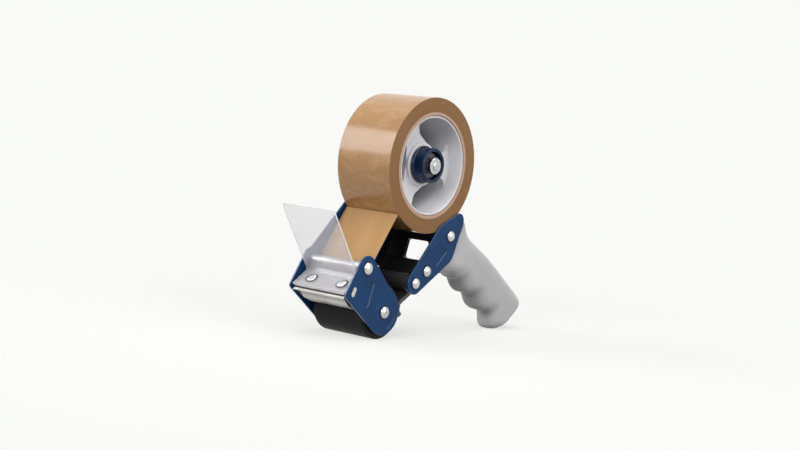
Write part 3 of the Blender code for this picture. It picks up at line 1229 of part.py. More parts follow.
def make_tape_strip(body, surfaces):
    """Strip that peels off the roll, runs to the back of the flap's barrel and ends at the blade."""
    rise = TAPE_ROLL_RADIUS + SEAT + STRIP_THICKNESS / 2
    peel = along(ROLL_AXIS, (math.cos(PEEL_ANGLE), math.sin(PEEL_ANGLE)), rise)
    clear = BARREL_RADIUS + SHEET / 2 + SEAT + STRIP_THICKNESS / 2
    way = Vector(peel) - Vector(FLAP_SHAFT)
    tangent = math.atan2(way.y, way.x) - math.acos(clear / way.length)
    wrap = arc_points(FLAP_SHAFT, clear, tangent, -STRIP_WRAP)
    under = below_flap(STRIP_DROP)
    last = along(under, PLATE_WAY, FLAP_PLATE_LENGTH - STRIP_SHORTFALL)
    path = [peel] + wrap + rounded_path([(wrap[-1], 0), (under, SHEET), (last, 0)])[1:]
    data = prism("tape_strip", ribbon(path, STRIP_THICKNESS), -TAPE_WIDTH / 2, TAPE_WIDTH / 2)
    add_object("tape_strip", data, surfaces["adhesive"], body)


def centre_on_origin(root):
    """Moves everything so that the origin is on the floor, below the middle of the whole tool."""
    bpy.context.view_layer.update()
    graph = bpy.context.evaluated_depsgraph_get()
    lows, highs = [math.inf] * 3, [-math.inf] * 3
    for thing in bpy.context.scene.collection.all_objects:
        if thing.type not in ("MESH", "CURVE") or thing.hide_render:
            continue
        solid = thing.evaluated_get(graph)
        data = solid.to_mesh()
        for vertex in data.vertices:
            world = solid.matrix_world @ vertex.co
            lows = [min(low, value) for low, value in zip(lows, world)]
            highs = [max(high, value) for high, value in zip(highs, world)]
        solid.to_mesh_clear()
    root.location = (-(lows[0] + highs[0]) / 2, -(lows[1] + highs[1]) / 2, -lows[2])
    print("moved by", [round(value / MM, 3) for value in root.location])


def main():
    clear_scene()
    surfaces = make_materials()
    frame = empty("frame_body", (0, 0, 0))
    ROOT["empty"] = frame
    tape_hub = empty("tape_hub_body", at(ROLL_AXIS), frame)
    tension = empty("tension_knob_body", at(ROLL_AXIS), frame)
    roller = empty("press_roller_body", at(ROLLER_AXIS), frame)
    flap = empty("guard_flap_body", at(FLAP_SHAFT), frame)
    make_side_plates(frame, surfaces)
    make_tape_bed(frame, surfaces)
    make_handle(frame, surfaces)
    make_shaft("flap_shaft", FLAP_SHAFT, FLAP_SHAFT_RADIUS, frame, surfaces)
    make_shaft("roller_axle", ROLLER_AXIS, ROLLER_AXLE_RADIUS, frame, surfaces)
    make_fasteners(frame, surfaces)
    make_blade_holder(frame, surfaces)
    make_cutting_blade(frame, surfaces)
    make_tape_strip(frame, surfaces)
    make_hub_axle(frame, surfaces)
    make_brake_spring(frame, surfaces)
    make_flap_spring(frame, surfaces)
    make_tape_roll(tape_hub, surfaces)
    make_core_hub(tape_hub, surfaces)
    make_knob(tension, surfaces)
    make_press_roller(roller, surfaces)
    make_guard_flap(flap, surfaces)
    centre_on_origin(frame)


main()
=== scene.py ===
"""Looks for a hand-held packing tape dispenser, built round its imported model.

Sheet and moulded pieces are copies of the model's nodes with eased edges. Round pieces are turned
again with fine steps, and the grip's surface is laid again in even quads. The materials are made
of nodes only.
"""

import math

import bmesh
import bpy
from mathutils import Matrix, Vector


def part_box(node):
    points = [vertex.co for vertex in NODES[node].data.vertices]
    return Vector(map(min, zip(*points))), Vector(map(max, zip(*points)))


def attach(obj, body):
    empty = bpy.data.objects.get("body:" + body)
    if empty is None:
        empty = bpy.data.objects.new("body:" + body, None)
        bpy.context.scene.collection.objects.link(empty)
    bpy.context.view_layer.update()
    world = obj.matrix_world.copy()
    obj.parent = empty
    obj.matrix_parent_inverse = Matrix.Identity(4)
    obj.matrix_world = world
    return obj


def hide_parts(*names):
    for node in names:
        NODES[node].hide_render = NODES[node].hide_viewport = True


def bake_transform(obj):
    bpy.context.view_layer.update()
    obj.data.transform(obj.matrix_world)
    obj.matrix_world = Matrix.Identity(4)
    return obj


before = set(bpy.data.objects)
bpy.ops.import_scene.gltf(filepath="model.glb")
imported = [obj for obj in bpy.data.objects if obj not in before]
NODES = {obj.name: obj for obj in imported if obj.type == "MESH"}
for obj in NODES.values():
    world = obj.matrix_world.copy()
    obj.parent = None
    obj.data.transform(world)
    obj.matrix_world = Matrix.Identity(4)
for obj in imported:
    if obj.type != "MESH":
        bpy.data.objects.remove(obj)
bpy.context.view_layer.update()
MM = 0.001

FRAME = "frame"
TAPE_HUB = "tape_hub"
KNOB_UNIT = "tension_knob_unit"
PRESS_ROLLER = "press_roller"
GUARD_FLAP = "guard_flap"


def middle(node):
    low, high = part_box(node)
    return (low + high) / 2


def reach(node):
    low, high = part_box(node)
    return (high - low) / 2


ROLL_AXIS = middle("tape_roll")
ROLLER_AXIS = middle("roller_rubber")
SEAM_GAP = 0.01 * MM
FLAT_WITHIN = math.radians(0.8)

# Camera, set out from the middle of the roll
CAMERA_LENS = 64.88
CAMERA_FROM_ROLL = Vector((0.6946, -0.8608, 0.0314))
CAMERA_TURN = math.radians(39.68)
CAMERA_TILT = math.radians(10.85)
CAMERA_LEAN = math.radians(8.7)

# Studio: each softbox has its place, size and power
BACKDROP_WHITE = (0.947, 0.956, 0.930)
ROOM_WHITE = (1.0, 1.0, 1.0)
ROOM_LIGHT = 0.14
SOFTBOX_TARGET = Vector((0.0, 0.0, 0.09))
SOFTBOXES = {
    "left_softbox": ((-1.34, -1.24, 0.92), (1.1, 1.0), 17.0),
    "overhead_softbox": ((0.1, 0.0, 1.9), (2.0, 2.0), 26.0),
    "front_softbox": ((0.55, -1.7, 1.0), (1.3, 1.0), 17.0),
    "right_softbox": ((1.8, 0.25, 0.8), (1.6, 1.4), 20.0),
}
FLOOR_REACH = 12.0
FLOOR_COLOUR = (0.845, 0.845, 0.83)
FLOOR_BOUNCE = (0.22, 0.22, 0.22)
FLOOR_GLOW = 0.68
GLOW_RISES_FROM = 0.15
GLOW_FULL_AT = 0.55

# Flap, shield, blade and holder, whose sheets lie along or across the flap's slope
FLAP_SLOPE = math.radians(34.4)
FLAP_WAY = Vector((0, -math.cos(FLAP_SLOPE), -math.sin(FLAP_SLOPE)))
FLAP_UP = Vector((0, -math.sin(FLAP_SLOPE), math.cos(FLAP_SLOPE)))
FLANGE_END = 0.3 * MM
FLANGE_STRETCH = 4.3 * MM
SHIELD_TOP = 4.0 * MM
SHIELD_LIP = 0.5 * MM
EDGE_FACING = 0.35
TOOTH_HEIGHT = 3.0 * MM
TOOTH_COUNT = 24
TOOTH_TIP = 0.02 * MM
TIPS_WITHIN = 0.1 * MM
TOOTH_ROOTED = 0.1 * MM
# Painted shadow on the holder under the blade: band depth, its top, fade above the top, and side
# limits
TOOTH_FULLER = 1.05
BLADE_SHADOW_BAND = 6.5 * MM
BLADE_SHADOW_TOP = 83.2 * MM
BLADE_SHADOW_ENDS = (1.1 * MM, 1.4 * MM)
BLADE_SHADOW_SIDES = (24.0 * MM, 24.6 * MM)

# Side plates and their pressed panels
PLATE_EDGE = 0.32 * MM
FLAT_FACING = 0.93
PANEL_DEPTH = 0.5 * MM
PRESSED_FURTHER = 0.45 * MM

# Screws and rivets
HEAD_HEIGHT = 2.7 * MM
RIVET_HEIGHT = 1.9 * MM
HEADS_GROWN = 1.15
HANDLE_HEADS_GROWN = 1.05
HEAD_RIM = 0.35 * MM
SEAT_RING = 0.5 * MM
DOME_FOOT = 0.05 * MM
RIM_ROUND = (0.08 * MM, 0.1 * MM)
# Margin past the dome beyond which a head takes the painted shadow colour
SHADOW_RING_MARGIN = 0.03 * MM
SOCKET_CLEARED = 1.3
SHANK_CHAMFER = 0.2 * MM
SOCKET_SIZE = 1.2 * MM
DOME_STEPS = 10
HEAD_STEPS = 48

# Roll and roller
TURNING_GAP = 0.08 * MM
ROLL_LIP = 0.35 * MM
ROLL_STEPS = 180
ROLLER_LIP = 1.6 * MM
LIP_STEPS = 6

# Hub: drum, sunk web with three arms, boss and tube
HUB_STEPS = 160
HUB_WALL = 1.5 * MM
HUB_BACK_DRAFT = 0.9 * MM
HUB_LIP = 0.4 * MM
HUB_LIP_INSIDE = 0.35 * MM
HUB_WEB_SUNK = 12.3 * MM
HUB_WEB = 2.5 * MM
HUB_BOSS = 17.0 * MM
HUB_BOSS_PROUD = 2.0 * MM
BOSS_ROUND = (0.8 * MM, 0.25 * MM)
BOSS_RECESS = 13.9 * MM
RECESS_DEPTH = 0.5 * MM
RECESS_SLOPE = 0.3 * MM
WEB_CORNER = (2.0 * MM, 0.5 * MM)
HUB_TUBE = 11.0 * MM
TUBE_FLARE = 1.2 * MM
TUBE_SHOULDER = 3.4 * MM
HUB_POCKET = 8.2 * MM
POCKET_DEPTH = 8.5 * MM
HUB_BORE = 4.2 * MM
# Painted shade inside the hub: from this x at the front to that x at the back
HUB_SHADE_FROM = 8.6 * MM
HUB_SHADE_TO = -9.0 * MM
ARM_WAIST = math.radians(20.0)
ARM_AT_BOSS = math.radians(57.0)
ARM_FLARE = math.radians(9.0)
WAIST_FROM = 0.5
WAIST_TO = 0.72
ARM_IN_BOSS = 0.4 * MM
ARM_IN_WALL = 0.1 * MM
ARM_STEPS = 18
ARM_END_STEPS = 8
ARM_ROUND = 0.7 * MM

# Grip: place, spread and shift of each push in the side view, and the x from which it grows, or 0
GRIP_GRAIN = 0.7 * MM
PUSH_GROWS_OVER = 0.6
GRIP_PUSHES = (
    ((84 * MM, 8 * MM), (9 * MM, 8 * MM), (5.2 * MM, 0), 20 * MM),
    ((76 * MM, 18 * MM), (8 * MM, 6 * MM), (0.5 * MM, -2.8 * MM), 0),
    ((70 * MM, 66 * MM), (16 * MM, 16 * MM), (0.9 * MM, 0.9 * MM), 0),
    ((29 * MM, 84 * MM), (7 * MM, 7 * MM), (2.4 * MM, 0), 0),
)


# Node helpers

class Nodes:
    """The node tree of a material or a world, with shortcuts for what is added to it."""

    def __init__(self, owner):
        owner.use_nodes = True
        self.tree = owner.node_tree

    def add(self, kind, **values):
        node = self.tree.nodes.new(kind)
        for key, value in values.items():
            setattr(node, key, value)
        return node

    def link(self, source, target):
        self.tree.links.new(source, target)

    def feed(self, value, socket):
        """Gives a socket another socket's value, a colour or a number."""
        if isinstance(value, bpy.types.NodeSocket):
            self.link(value, socket)
        elif isinstance(value, tuple):
            socket.default_value = (*value, 1.0)
        else:
            socket.default_value = value

    def maths(self, operation, first, second=0.0):
        node = self.add("ShaderNodeMath", operation=operation)
        self.feed(first, node.inputs[0])
        self.feed(second, node.inputs[1])
        return node.outputs[0]

    def mix(self, share, first, second):
        """Mixes two colours. Each is a socket or a plain tuple."""
        node = self.add("ShaderNodeMix", data_type="RGBA")
        sockets = [socket for socket in node.inputs if socket.enabled]
        for value, socket in zip((share, first, second), sockets):
            self.feed(value, socket)
        return next(socket for socket in node.outputs if socket.enabled)

    def spread(self, source, low, high, new_low, new_high, way="LINEAR"):
        node = self.add("ShaderNodeMapRange", interpolation_type=way)
        values = (low, high, new_low, new_high)
        for socket, value in zip(("From Min", "From Max", "To Min", "To Max"), values):
            node.inputs[socket].default_value = value
        self.link(source, node.inputs["Value"])
        return node.outputs["Result"]

    def shine(self, kind, colour, strength):
        """A background or emission shader of one colour."""
        node = self.add(kind)
        self.feed(colour, node.inputs["Color"])
        node.inputs["Strength"].default_value = strength
        return node

    def seen_directly(self):
        """1 for what the camera sees, also by reflection and through clear plastic."""
        rays = self.add("ShaderNodeLightPath").outputs
        mirrored = self.maths("MAXIMUM", rays["Is Camera Ray"], rays["Is Glossy Ray"])
        return self.maths("MAXIMUM", mirrored, rays["Is Transmission Ray"])

    def surface(self, share, first, second, kind):
        """Mixes two shaders and leads the mix to a new output node."""
        node = self.add("ShaderNodeMixShader")
        for source, socket in zip((share, first.outputs[0], second.outputs[0]), node.inputs):
            self.link(source, socket)
        self.link(node.outputs[0], self.add(kind).inputs["Surface"])


class Paint(Nodes):
    """A Principled material, with shortcuts for the patterns that feed it."""

    def __init__(self, name, colour, roughness, **values):
        self.made = bpy.data.materials.new(name)
        super().__init__(self.made)
        self.shader = self.tree.nodes["Principled BSDF"]
        self.feed(colour, self.shader.inputs["Base Color"])
        self.shader.inputs["Roughness"].default_value = roughness
        for socket, value in values.items():
            self.shader.inputs[socket.replace("_", " ")].default_value = value
        self.place = self.add("ShaderNodeTexCoord").outputs["Object"]

    def mapped(self, scale=(1, 1, 1), centre=(0, 0, 0), turn=(0, 0, 0)):
        """Object coordinates about centre, turned, then scaled to a pattern's size."""
        shift = self.add("ShaderNodeMapping")
        shift.inputs["Location"].default_value = [-value for value in centre]
        self.link(self.place, shift.inputs["Vector"])
        sized = self.add("ShaderNodeMapping")
        sized.inputs["Rotation"].default_value = turn
        sized.inputs["Scale"].default_value = scale
        self.link(shift.outputs[0], sized.inputs["Vector"])
        return sized.outputs[0]

    def noise(
        self, scale, centre=(0, 0, 0), turn=(0, 0, 0), detail=3.0, roughness=0.5, distortion=0.0,
    ):
        """Clouds. The scale is one number, or one for each axis."""
        sizes = scale if isinstance(scale, tuple) else (scale,) * 3
        node = self.add("ShaderNodeTexNoise")
        node.inputs["Scale"].default_value = 1.0
        node.inputs["Detail"].default_value = detail
        node.inputs["Roughness"].default_value = roughness
        node.inputs["Distortion"].default_value = distortion
        self.link(self.mapped(sizes, centre, turn), node.inputs["Vector"])
        return node.outputs["Fac"]

    def axial(self, axis):
        """Distance from an axis that runs along X through the point."""
        parts = self.add("ShaderNodeSeparateXYZ")
        self.link(self.mapped(centre=axis), parts.inputs[0])
        square_y = self.maths("MULTIPLY", parts.outputs["Y"], parts.outputs["Y"])
        square_z = self.maths("MULTIPLY", parts.outputs["Z"], parts.outputs["Z"])
        return self.maths("SQRT", self.maths("ADD", square_y, square_z))

    def rings(self, distance, scale, detail=2.0):
        """Noise that changes with one distance only."""
        node = self.add("ShaderNodeTexNoise", noise_dimensions="1D")
        node.inputs["Scale"].default_value = scale
        node.inputs["Detail"].default_value = detail
        self.link(distance, node.inputs["W"])
        return node.outputs["Fac"]

    def along_x(self, start=0.0):
        parts = self.add("ShaderNodeSeparateXYZ")
        self.link(self.mapped(centre=(start, 0, 0)), parts.inputs[0])
        return parts.outputs["X"]

    def ramp(self, source, *stops):
        """Colours by stops of (place, colour)."""
        node = self.add("ShaderNodeValToRGB")
        elements = node.color_ramp.elements
        while len(elements) < len(stops):
            elements.new(0.5)
        for element, (at, colour) in zip(elements, stops):
            element.position = at
            element.color = (*colour, 1.0)
        self.link(source, node.inputs["Fac"])
        return node.outputs["Color"]

    def bump(self, height, depth, strength, under=None):
        node = self.add("ShaderNodeBump")
        node.inputs["Strength"].default_value = strength
        node.inputs["Distance"].default_value = depth
        self.link(height, node.inputs["Height"])
        if under is not None:
            self.link(under, node.inputs["Normal"])
        return node.outputs["Normal"]

    def tint(self, source):
        self.link(source, self.shader.inputs["Base Color"])

    def dull(self, source, low, high, least, most):
        """Leads a pattern to the roughness, between two values."""
        self.link(self.spread(source, low, high, least, most), self.shader.inputs["Roughness"])

    def grain(self, height, depth, strength, under=None):
        """Leads a pattern to the relief."""
        self.link(self.bump(height, depth, strength, under), self.shader.inputs["Normal"])


# Camera and studio

def make_camera():
    data = bpy.data.cameras.new("photo_camera")
    data.sensor_width = 36.0
    data.lens = CAMERA_LENS
    data.clip_start = 0.01
    camera = bpy.data.objects.new("photo_camera", data)
    bpy.context.scene.collection.objects.link(camera)
    right = Vector((math.cos(CAMERA_TURN), math.sin(CAMERA_TURN), 0.0))
    level = Vector((math.sin(CAMERA_TURN), -math.cos(CAMERA_TURN), 0.0))
    back = level * math.cos(CAMERA_TILT) + Vector((0, 0, math.sin(CAMERA_TILT)))
    aim = Matrix((right, back.cross(right), back)).transposed()
    aim = Matrix.Rotation(CAMERA_LEAN, 3, "X") @ aim
    camera.matrix_world = Matrix.Translation(ROLL_AXIS + CAMERA_FROM_ROLL) @ aim.to_4x4()
    bpy.context.scene.camera = camera


def make_softboxes():
    for name, (place, size, watts) in SOFTBOXES.items():
        data = bpy.data.lights.new(name, "AREA")
        data.shape = "RECTANGLE"
        data.size, data.size_y = size
        data.energy = watts
        lamp = bpy.data.objects.new(name, data)
        bpy.context.scene.collection.objects.link(lamp)
        lamp.location = place
        lamp.rotation_euler = (Vector(place) - SOFTBOX_TARGET).to_track_quat("Z", "Y").to_euler()


def make_world():
    world = bpy.data.worlds.new("studio_world")
    bpy.context.scene.world = world
    nodes = Nodes(world)
    nodes.tree.nodes.clear()
    room = nodes.shine("ShaderNodeBackground", ROOM_WHITE, ROOM_LIGHT)
    seen = nodes.shine("ShaderNodeBackground", BACKDROP_WHITE, 1.0)
    nodes.surface(nodes.seen_directly(), room, seen, "ShaderNodeOutputWorld")


def make_floor():
    """Pale floor that keeps the shadows near the object and fades into the backdrop."""
    bm = bmesh.new()
    bmesh.ops.create_grid(bm, x_segments=1, y_segments=1, size=FLOOR_REACH)
    data = bpy.data.meshes.new("studio_floor")
    bm.to_mesh(data)
    bm.free()
    floor = bpy.data.objects.new("studio_floor", data)
    bpy.context.scene.collection.objects.link(floor)
    made = bpy.data.materials.new("studio_floor")
    nodes = Nodes(made)
    nodes.tree.nodes.clear()
    matt = nodes.add("ShaderNodeBsdfDiffuse")
    bounced = nodes.add("ShaderNodeLightPath").outputs["Is Diffuse Ray"]
    nodes.link(nodes.mix(bounced, FLOOR_COLOUR, FLOOR_BOUNCE), matt.inputs["Color"])
    glow = nodes.shine("ShaderNodeEmission", BACKDROP_WHITE, 1.0)
    away = nodes.add("ShaderNodeVectorMath", operation="LENGTH")
    nodes.link(nodes.add("ShaderNodeTexCoord").outputs["Object"], away.inputs[0])
    far = away.outputs["Value"]
    fade = nodes.spread(far, GLOW_RISES_FROM, GLOW_FULL_AT, FLOOR_GLOW, 1.0, "SMOOTHSTEP")
    share = nodes.maths("MULTIPLY", nodes.seen_directly(), fade)
    nodes.surface(share, matt, glow, "ShaderNodeOutputMaterial")
    data.materials.append(made)


def make_studio():
    bpy.context.scene.view_settings.view_transform = "Standard"
    make_softboxes()
    make_world()
    make_floor()


# Materials

def navy_paint(name, gloss, coat):
    """Stoved paint with a faint orange peel, thicker and glossier round edges."""
    paint = Paint(
        name, (0.004, 0.03, 0.092), 0.34, Specular_IOR_Level=gloss,
        Coat_Weight=coat, Coat_Roughness=0.12,
    )
    cloud = paint.noise(60, detail=2.0)
    paint.tint(paint.ramp(cloud, (0.3, (0.0022, 0.037, 0.125)), (0.7, (0.004, 0.047, 0.155))))
    paint.grain(paint.noise(900, detail=1.0), 0.00002, 0.35)
    paint.dull(paint.noise(240), 0.3, 0.7, 0.3, 0.42)
    return paint.made


def knob_plastic():
    """Dark blue moulding with a soft gloss."""
    paint = Paint(
        "knob_plastic", (0.0015, 0.012, 0.045), 0.22, Specular_IOR_Level=0.28,
    )
    cloud = paint.noise(90, detail=2.0)
    paint.tint(paint.ramp(cloud, (0.35, (0.001, 0.011, 0.045)), (0.7, (0.002, 0.017, 0.068))))
    paint.dull(cloud, 0.3, 0.7, 0.18, 0.28)
    paint.grain(paint.noise(1400), 0.00001, 0.3)
    return paint.made


def tape_film():
    """Glossy outside of the roll: streaks round it, with paler patches of lifted film."""
    paint = Paint(
        "tape_film", (0.43, 0.235, 0.1), 0.34, Specular_IOR_Level=0.3,
        Coat_Weight=0.55, Coat_Roughness=0.13,
    )
    streak = paint.noise((9, 40, 40), ROLL_AXIS, detail=5.0, roughness=0.6, distortion=0.7)
    base = paint.ramp(
        streak,
        (0.25, (0.32, 0.163, 0.057)),
        (0.5, (0.385, 0.203, 0.076)),
        (0.78, (0.455, 0.252, 0.107)),
    )
    patch = paint.noise((42, 60, 60), ROLL_AXIS, detail=5.0, roughness=0.6, distortion=1.8)
    paint.tint(paint.mix(paint.spread(patch, 0.52, 0.64, 0.0, 0.3), base, (0.58, 0.36, 0.22)))
    wave = paint.noise((22, 48, 48), ROLL_AXIS, detail=2.0, distortion=1.0)
    fine = paint.noise((120, 260, 260), ROLL_AXIS)
    paint.grain(fine, 0.00004, 0.5, paint.bump(wave, 0.0012, 0.3))
    paint.dull(patch, 0.35, 0.7, 0.2, 0.38)
    return paint.made


def tape_edges():
    """Cut edge of the winding: fine rings round the roll's axis."""
    paint = Paint("tape_edges", (0.3, 0.17, 0.085), 0.6, Specular_IOR_Level=0.08)
    distance = paint.axial(ROLL_AXIS)
    fine = paint.rings(distance, 2600.0, detail=3.0)
    wide = paint.rings(distance, 420.0)
    narrow_share = paint.maths("MULTIPLY", fine, 0.6)
    wide_share = paint.maths("MULTIPLY", wide, 0.4)
    winding = paint.ramp(
        paint.maths("ADD", narrow_share, wide_share),
        (0.3, (0.22, 0.112, 0.046)),
        (0.5, (0.285, 0.15, 0.065)),
        (0.72, (0.35, 0.195, 0.09)),
    )
    cloud = paint.noise(18, ROLL_AXIS, detail=2.0)
    paint.tint(paint.mix(paint.spread(cloud, 0.4, 0.7, 0.0, 0.35), winding, (0.33, 0.2, 0.12)))
    paint.grain(fine, 0.00008, 0.6)
    return paint.made


def strip_film():
    """The free strip, with its dull side out and faint creases."""
    paint = Paint("strip_film", (0.5, 0.29, 0.125), 0.45, Specular_IOR_Level=0.3)
    streak = paint.noise((26, 12, 12), detail=4.0, distortion=0.8)
    paint.tint(paint.ramp(
        streak,
        (0.3, (0.365, 0.193, 0.067)),
        (0.55, (0.43, 0.24, 0.09)),
        (0.8, (0.49, 0.29, 0.126)),
    ))
    crease = paint.noise((55, 30, 30), turn=(0.5, 0.2, 0.9), distortion=1.5)
    paint.grain(crease, 0.0006, 0.3)
    return paint.made


def paper_core():
    """Pressed paper in wound plies."""
    paint = Paint("paper_core", (0.55, 0.38, 0.28), 0.85)
    fibre = paint.noise((500, 700, 700), detail=4.0, roughness=0.7)
    pulp = paint.ramp(
        fibre, (0.3, (0.48, 0.31, 0.21)), (0.55, (0.6, 0.41, 0.3)), (0.8, (0.68, 0.5, 0.39)),
    )
    plies = paint.rings(paint.axial(ROLL_AXIS), 1500.0)
    paint.tint(paint.mix(paint.spread(plies, 0.45, 0.6, 0.0, 0.5), pulp, (0.46, 0.29, 0.2)))
    paint.grain(fibre, 0.0001, 0.5)
    return paint.made


def gloss_black():
    """Moulded black plastic of the tape bed, with a soft swirl in its gloss."""
    paint = Paint("gloss_black", (0.02, 0.02, 0.021), 0.24, Specular_IOR_Level=0.6)
    cloud = paint.noise(45)
    paint.tint(paint.ramp(cloud, (0.3, (0.042, 0.042, 0.043)), (0.75, (0.058, 0.058, 0.06))))
    paint.dull(cloud, 0.3, 0.7, 0.16, 0.34)
    paint.grain(paint.noise(220), 0.00006, 0.3)
    return paint.made


def press_rubber():
    """Dark roller rubber: fine grain, faint marks round it and a little dust."""
    paint = Paint("press_rubber", (0.012, 0.012, 0.0125), 0.5, Specular_IOR_Level=0.12)
    dust = paint.noise(70, detail=5.0, roughness=0.65)
    paint.tint(paint.ramp(
        dust,
        (0.35, (0.009, 0.009, 0.0095)),
        (0.6, (0.0125, 0.0125, 0.013)),
        (0.85, (0.022, 0.021, 0.02)),
    ))
    turning = paint.noise((1500, 40, 40), ROLLER_AXIS, detail=2.0)
    paint.grain(paint.noise(1300, detail=2.0), 0.00003, 0.5, paint.bump(turning, 0.00003, 0.4))
    paint.dull(dust, 0.3, 0.75, 0.42, 0.6)
    return paint.made


def grey_grip():
    """Spark-textured grey moulding."""
    paint = Paint("grey_grip", (0.44, 0.44, 0.44), 0.5, Specular_IOR_Level=0.35)
    cloud = paint.noise(30, detail=4.0, roughness=0.6)
    paint.tint(paint.ramp(cloud, (0.3, (0.475, 0.475, 0.478)), (0.7, (0.53, 0.53, 0.532))))
    paint.grain(paint.noise(1600, detail=2.0), 0.00005, 0.45)
    paint.dull(cloud, 0.3, 0.7, 0.44, 0.56)
    return paint.made


def hub_plastic():
    """White moulding, darkened towards its back by painted shade inside the drum."""
    paint = Paint("hub_plastic", (0.66, 0.65, 0.67), 0.4)
    cloud = paint.noise(40)
    unshaded = paint.ramp(cloud, (0.3, (0.74, 0.735, 0.765)), (0.7, (0.81, 0.805, 0.83)))
    # Painted shade: the colour darkens with depth into the drum along X
    depth = paint.spread(paint.along_x(), HUB_SHADE_FROM, HUB_SHADE_TO, 0.0, 0.88)
    paint.tint(paint.mix(depth, unshaded, (0.06, 0.06, 0.063)))
    paint.grain(paint.noise(1100), 0.00003, 0.35)
    paint.dull(cloud, 0.3, 0.7, 0.34, 0.46)
    return paint.made


def flap_steel():
    """Bright pressed sheet: brushed along X with soft darker smears."""
    paint = Paint("flap_steel", (0.52, 0.52, 0.53), 0.36, Metallic=1.0)
    smear = paint.noise((45, 70, 70), detail=4.0, distortion=1.0)
    paint.tint(paint.ramp(
        smear, (0.28, (0.42, 0.42, 0.43)), (0.5, (0.52, 0.52, 0.53)), (0.75, (0.6, 0.6, 0.61)),
    ))
    paint.dull(smear, 0.3, 0.7, 0.28, 0.42)
    paint.grain(paint.noise((14, 1400, 1400)), 0.00003, 0.4)
    return paint.made


def bright_steel():
    """Plated screws, rivets, nut, shafts and springs."""
    paint = Paint("bright_steel", (0.66, 0.66, 0.67), 0.2, Metallic=1.0)
    cloud = paint.noise(300)
    paint.tint(paint.ramp(cloud, (0.3, (0.48, 0.48, 0.49)), (0.7, (0.62, 0.62, 0.63))))
    paint.dull(cloud, 0.3, 0.7, 0.16, 0.28)
    paint.grain(paint.noise(900), 0.00001, 0.4)
    return paint.made


def seat_shadow_steel():
    """Painted shade: a dark ring round the foot of a screw or rivet head, where shadow falls."""
    paint = Paint("seat_shadow_steel", (0.03, 0.03, 0.032), 0.5, Specular_IOR_Level=0.2)
    dust = paint.noise(700)
    paint.tint(paint.ramp(dust, (0.3, (0.018, 0.018, 0.02)), (0.7, (0.05, 0.05, 0.054))))
    return paint.made


def holder_steel():
    """Zinc-plated bent sheet, brownish and satin, with a painted shadow in a band under the blade.
    """
    paint = Paint("holder_steel", (0.5, 0.48, 0.47), 0.4, Metallic=1.0)
    cloud = paint.noise((60, 100, 100), detail=4.0, roughness=0.55)
    plating = paint.ramp(
        cloud, (0.3, (0.44, 0.42, 0.405)), (0.55, (0.54, 0.52, 0.505)), (0.8, (0.62, 0.6, 0.59)),
    )
    height = paint.add("ShaderNodeVectorMath", operation="DOT_PRODUCT")
    paint.link(paint.place, height.inputs[0])
    height.inputs[1].default_value = FLAP_UP
    level = height.outputs["Value"]
    # Painted shadow: darkens a band under the blade, fading out above it and towards the holder's
    # ends
    ends_low, ends_high = (BLADE_SHADOW_TOP + end for end in BLADE_SHADOW_ENDS)
    below = paint.spread(level, BLADE_SHADOW_TOP - BLADE_SHADOW_BAND, BLADE_SHADOW_TOP, 0.0, 0.85)
    above = paint.spread(level, ends_low, ends_high, 1.0, 0.0)
    across = paint.maths("ABSOLUTE", paint.along_x(middle("blade_holder").x))
    between = paint.spread(across, *BLADE_SHADOW_SIDES, 1.0, 0.0)
    blade_shadow = paint.maths("MULTIPLY", paint.maths("MULTIPLY", below, above), between)
    paint.tint(paint.mix(blade_shadow, plating, (0.05, 0.047, 0.044)))
    paint.dull(cloud, 0.3, 0.7, 0.34, 0.48)
    paint.grain(paint.noise((30, 1100, 1100)), 0.00003, 0.4)
    return paint.made


def blade_steel():
    """Ground blade: fine marks along each tooth, and painted shade in the valleys between teeth."""
    paint = Paint("blade_steel", (0.6, 0.58, 0.56), 0.24, Metallic=1.0)
    ground = paint.noise((2200, 120, 120), detail=2.0)
    bare = paint.ramp(ground, (0.3, (0.72, 0.7, 0.67)), (0.7, (0.9, 0.89, 0.86)))
    pitch = 2 * reach("cutting_blade")[0] / TOOTH_COUNT
    turns = paint.maths("MULTIPLY", paint.along_x(middle("cutting_blade").x), math.tau / pitch)
    # Painted shade: a dark stripe at each valley between teeth, one per pitch
    valley_shade = paint.spread(paint.maths("COSINE", turns), -0.2, 0.8, 0.0, 0.85)
    paint.tint(paint.mix(valley_shade, bare, (0.06, 0.055, 0.05)))
    paint.grain(ground, 0.00003, 0.4)
    return paint.made


def clear_acrylic():
    """Clear moulded sheet with a slight milky haze, as handled plastic has."""
    paint = Paint(
        "clear_acrylic", (0.97, 0.965, 0.975), 0.02, IOR=1.4,
        Transmission_Weight=0.75,
    )
    haze = paint.noise(35, detail=4.0)
    paint.tint(paint.ramp(haze, (0.3, (0.965, 0.955, 0.98)), (0.7, (0.995, 0.985, 1.0))))
    paint.dull(haze, 0.3, 0.8, 0.0, 0.05)
    return paint.made


def polished_edge():
    """Cut and flamed edges of the clear sheet, which show whiter than its faces."""
    paint = Paint(
        "polished_edge", (0.93, 0.93, 0.95), 0.12, IOR=1.4,
        Transmission_Weight=0.25,
    )
    saw = paint.noise(900, detail=2.0)
    paint.tint(paint.ramp(saw, (0.3, (0.88, 0.885, 0.91)), (0.7, (0.96, 0.96, 0.97))))
    return paint.made


# Piece helpers

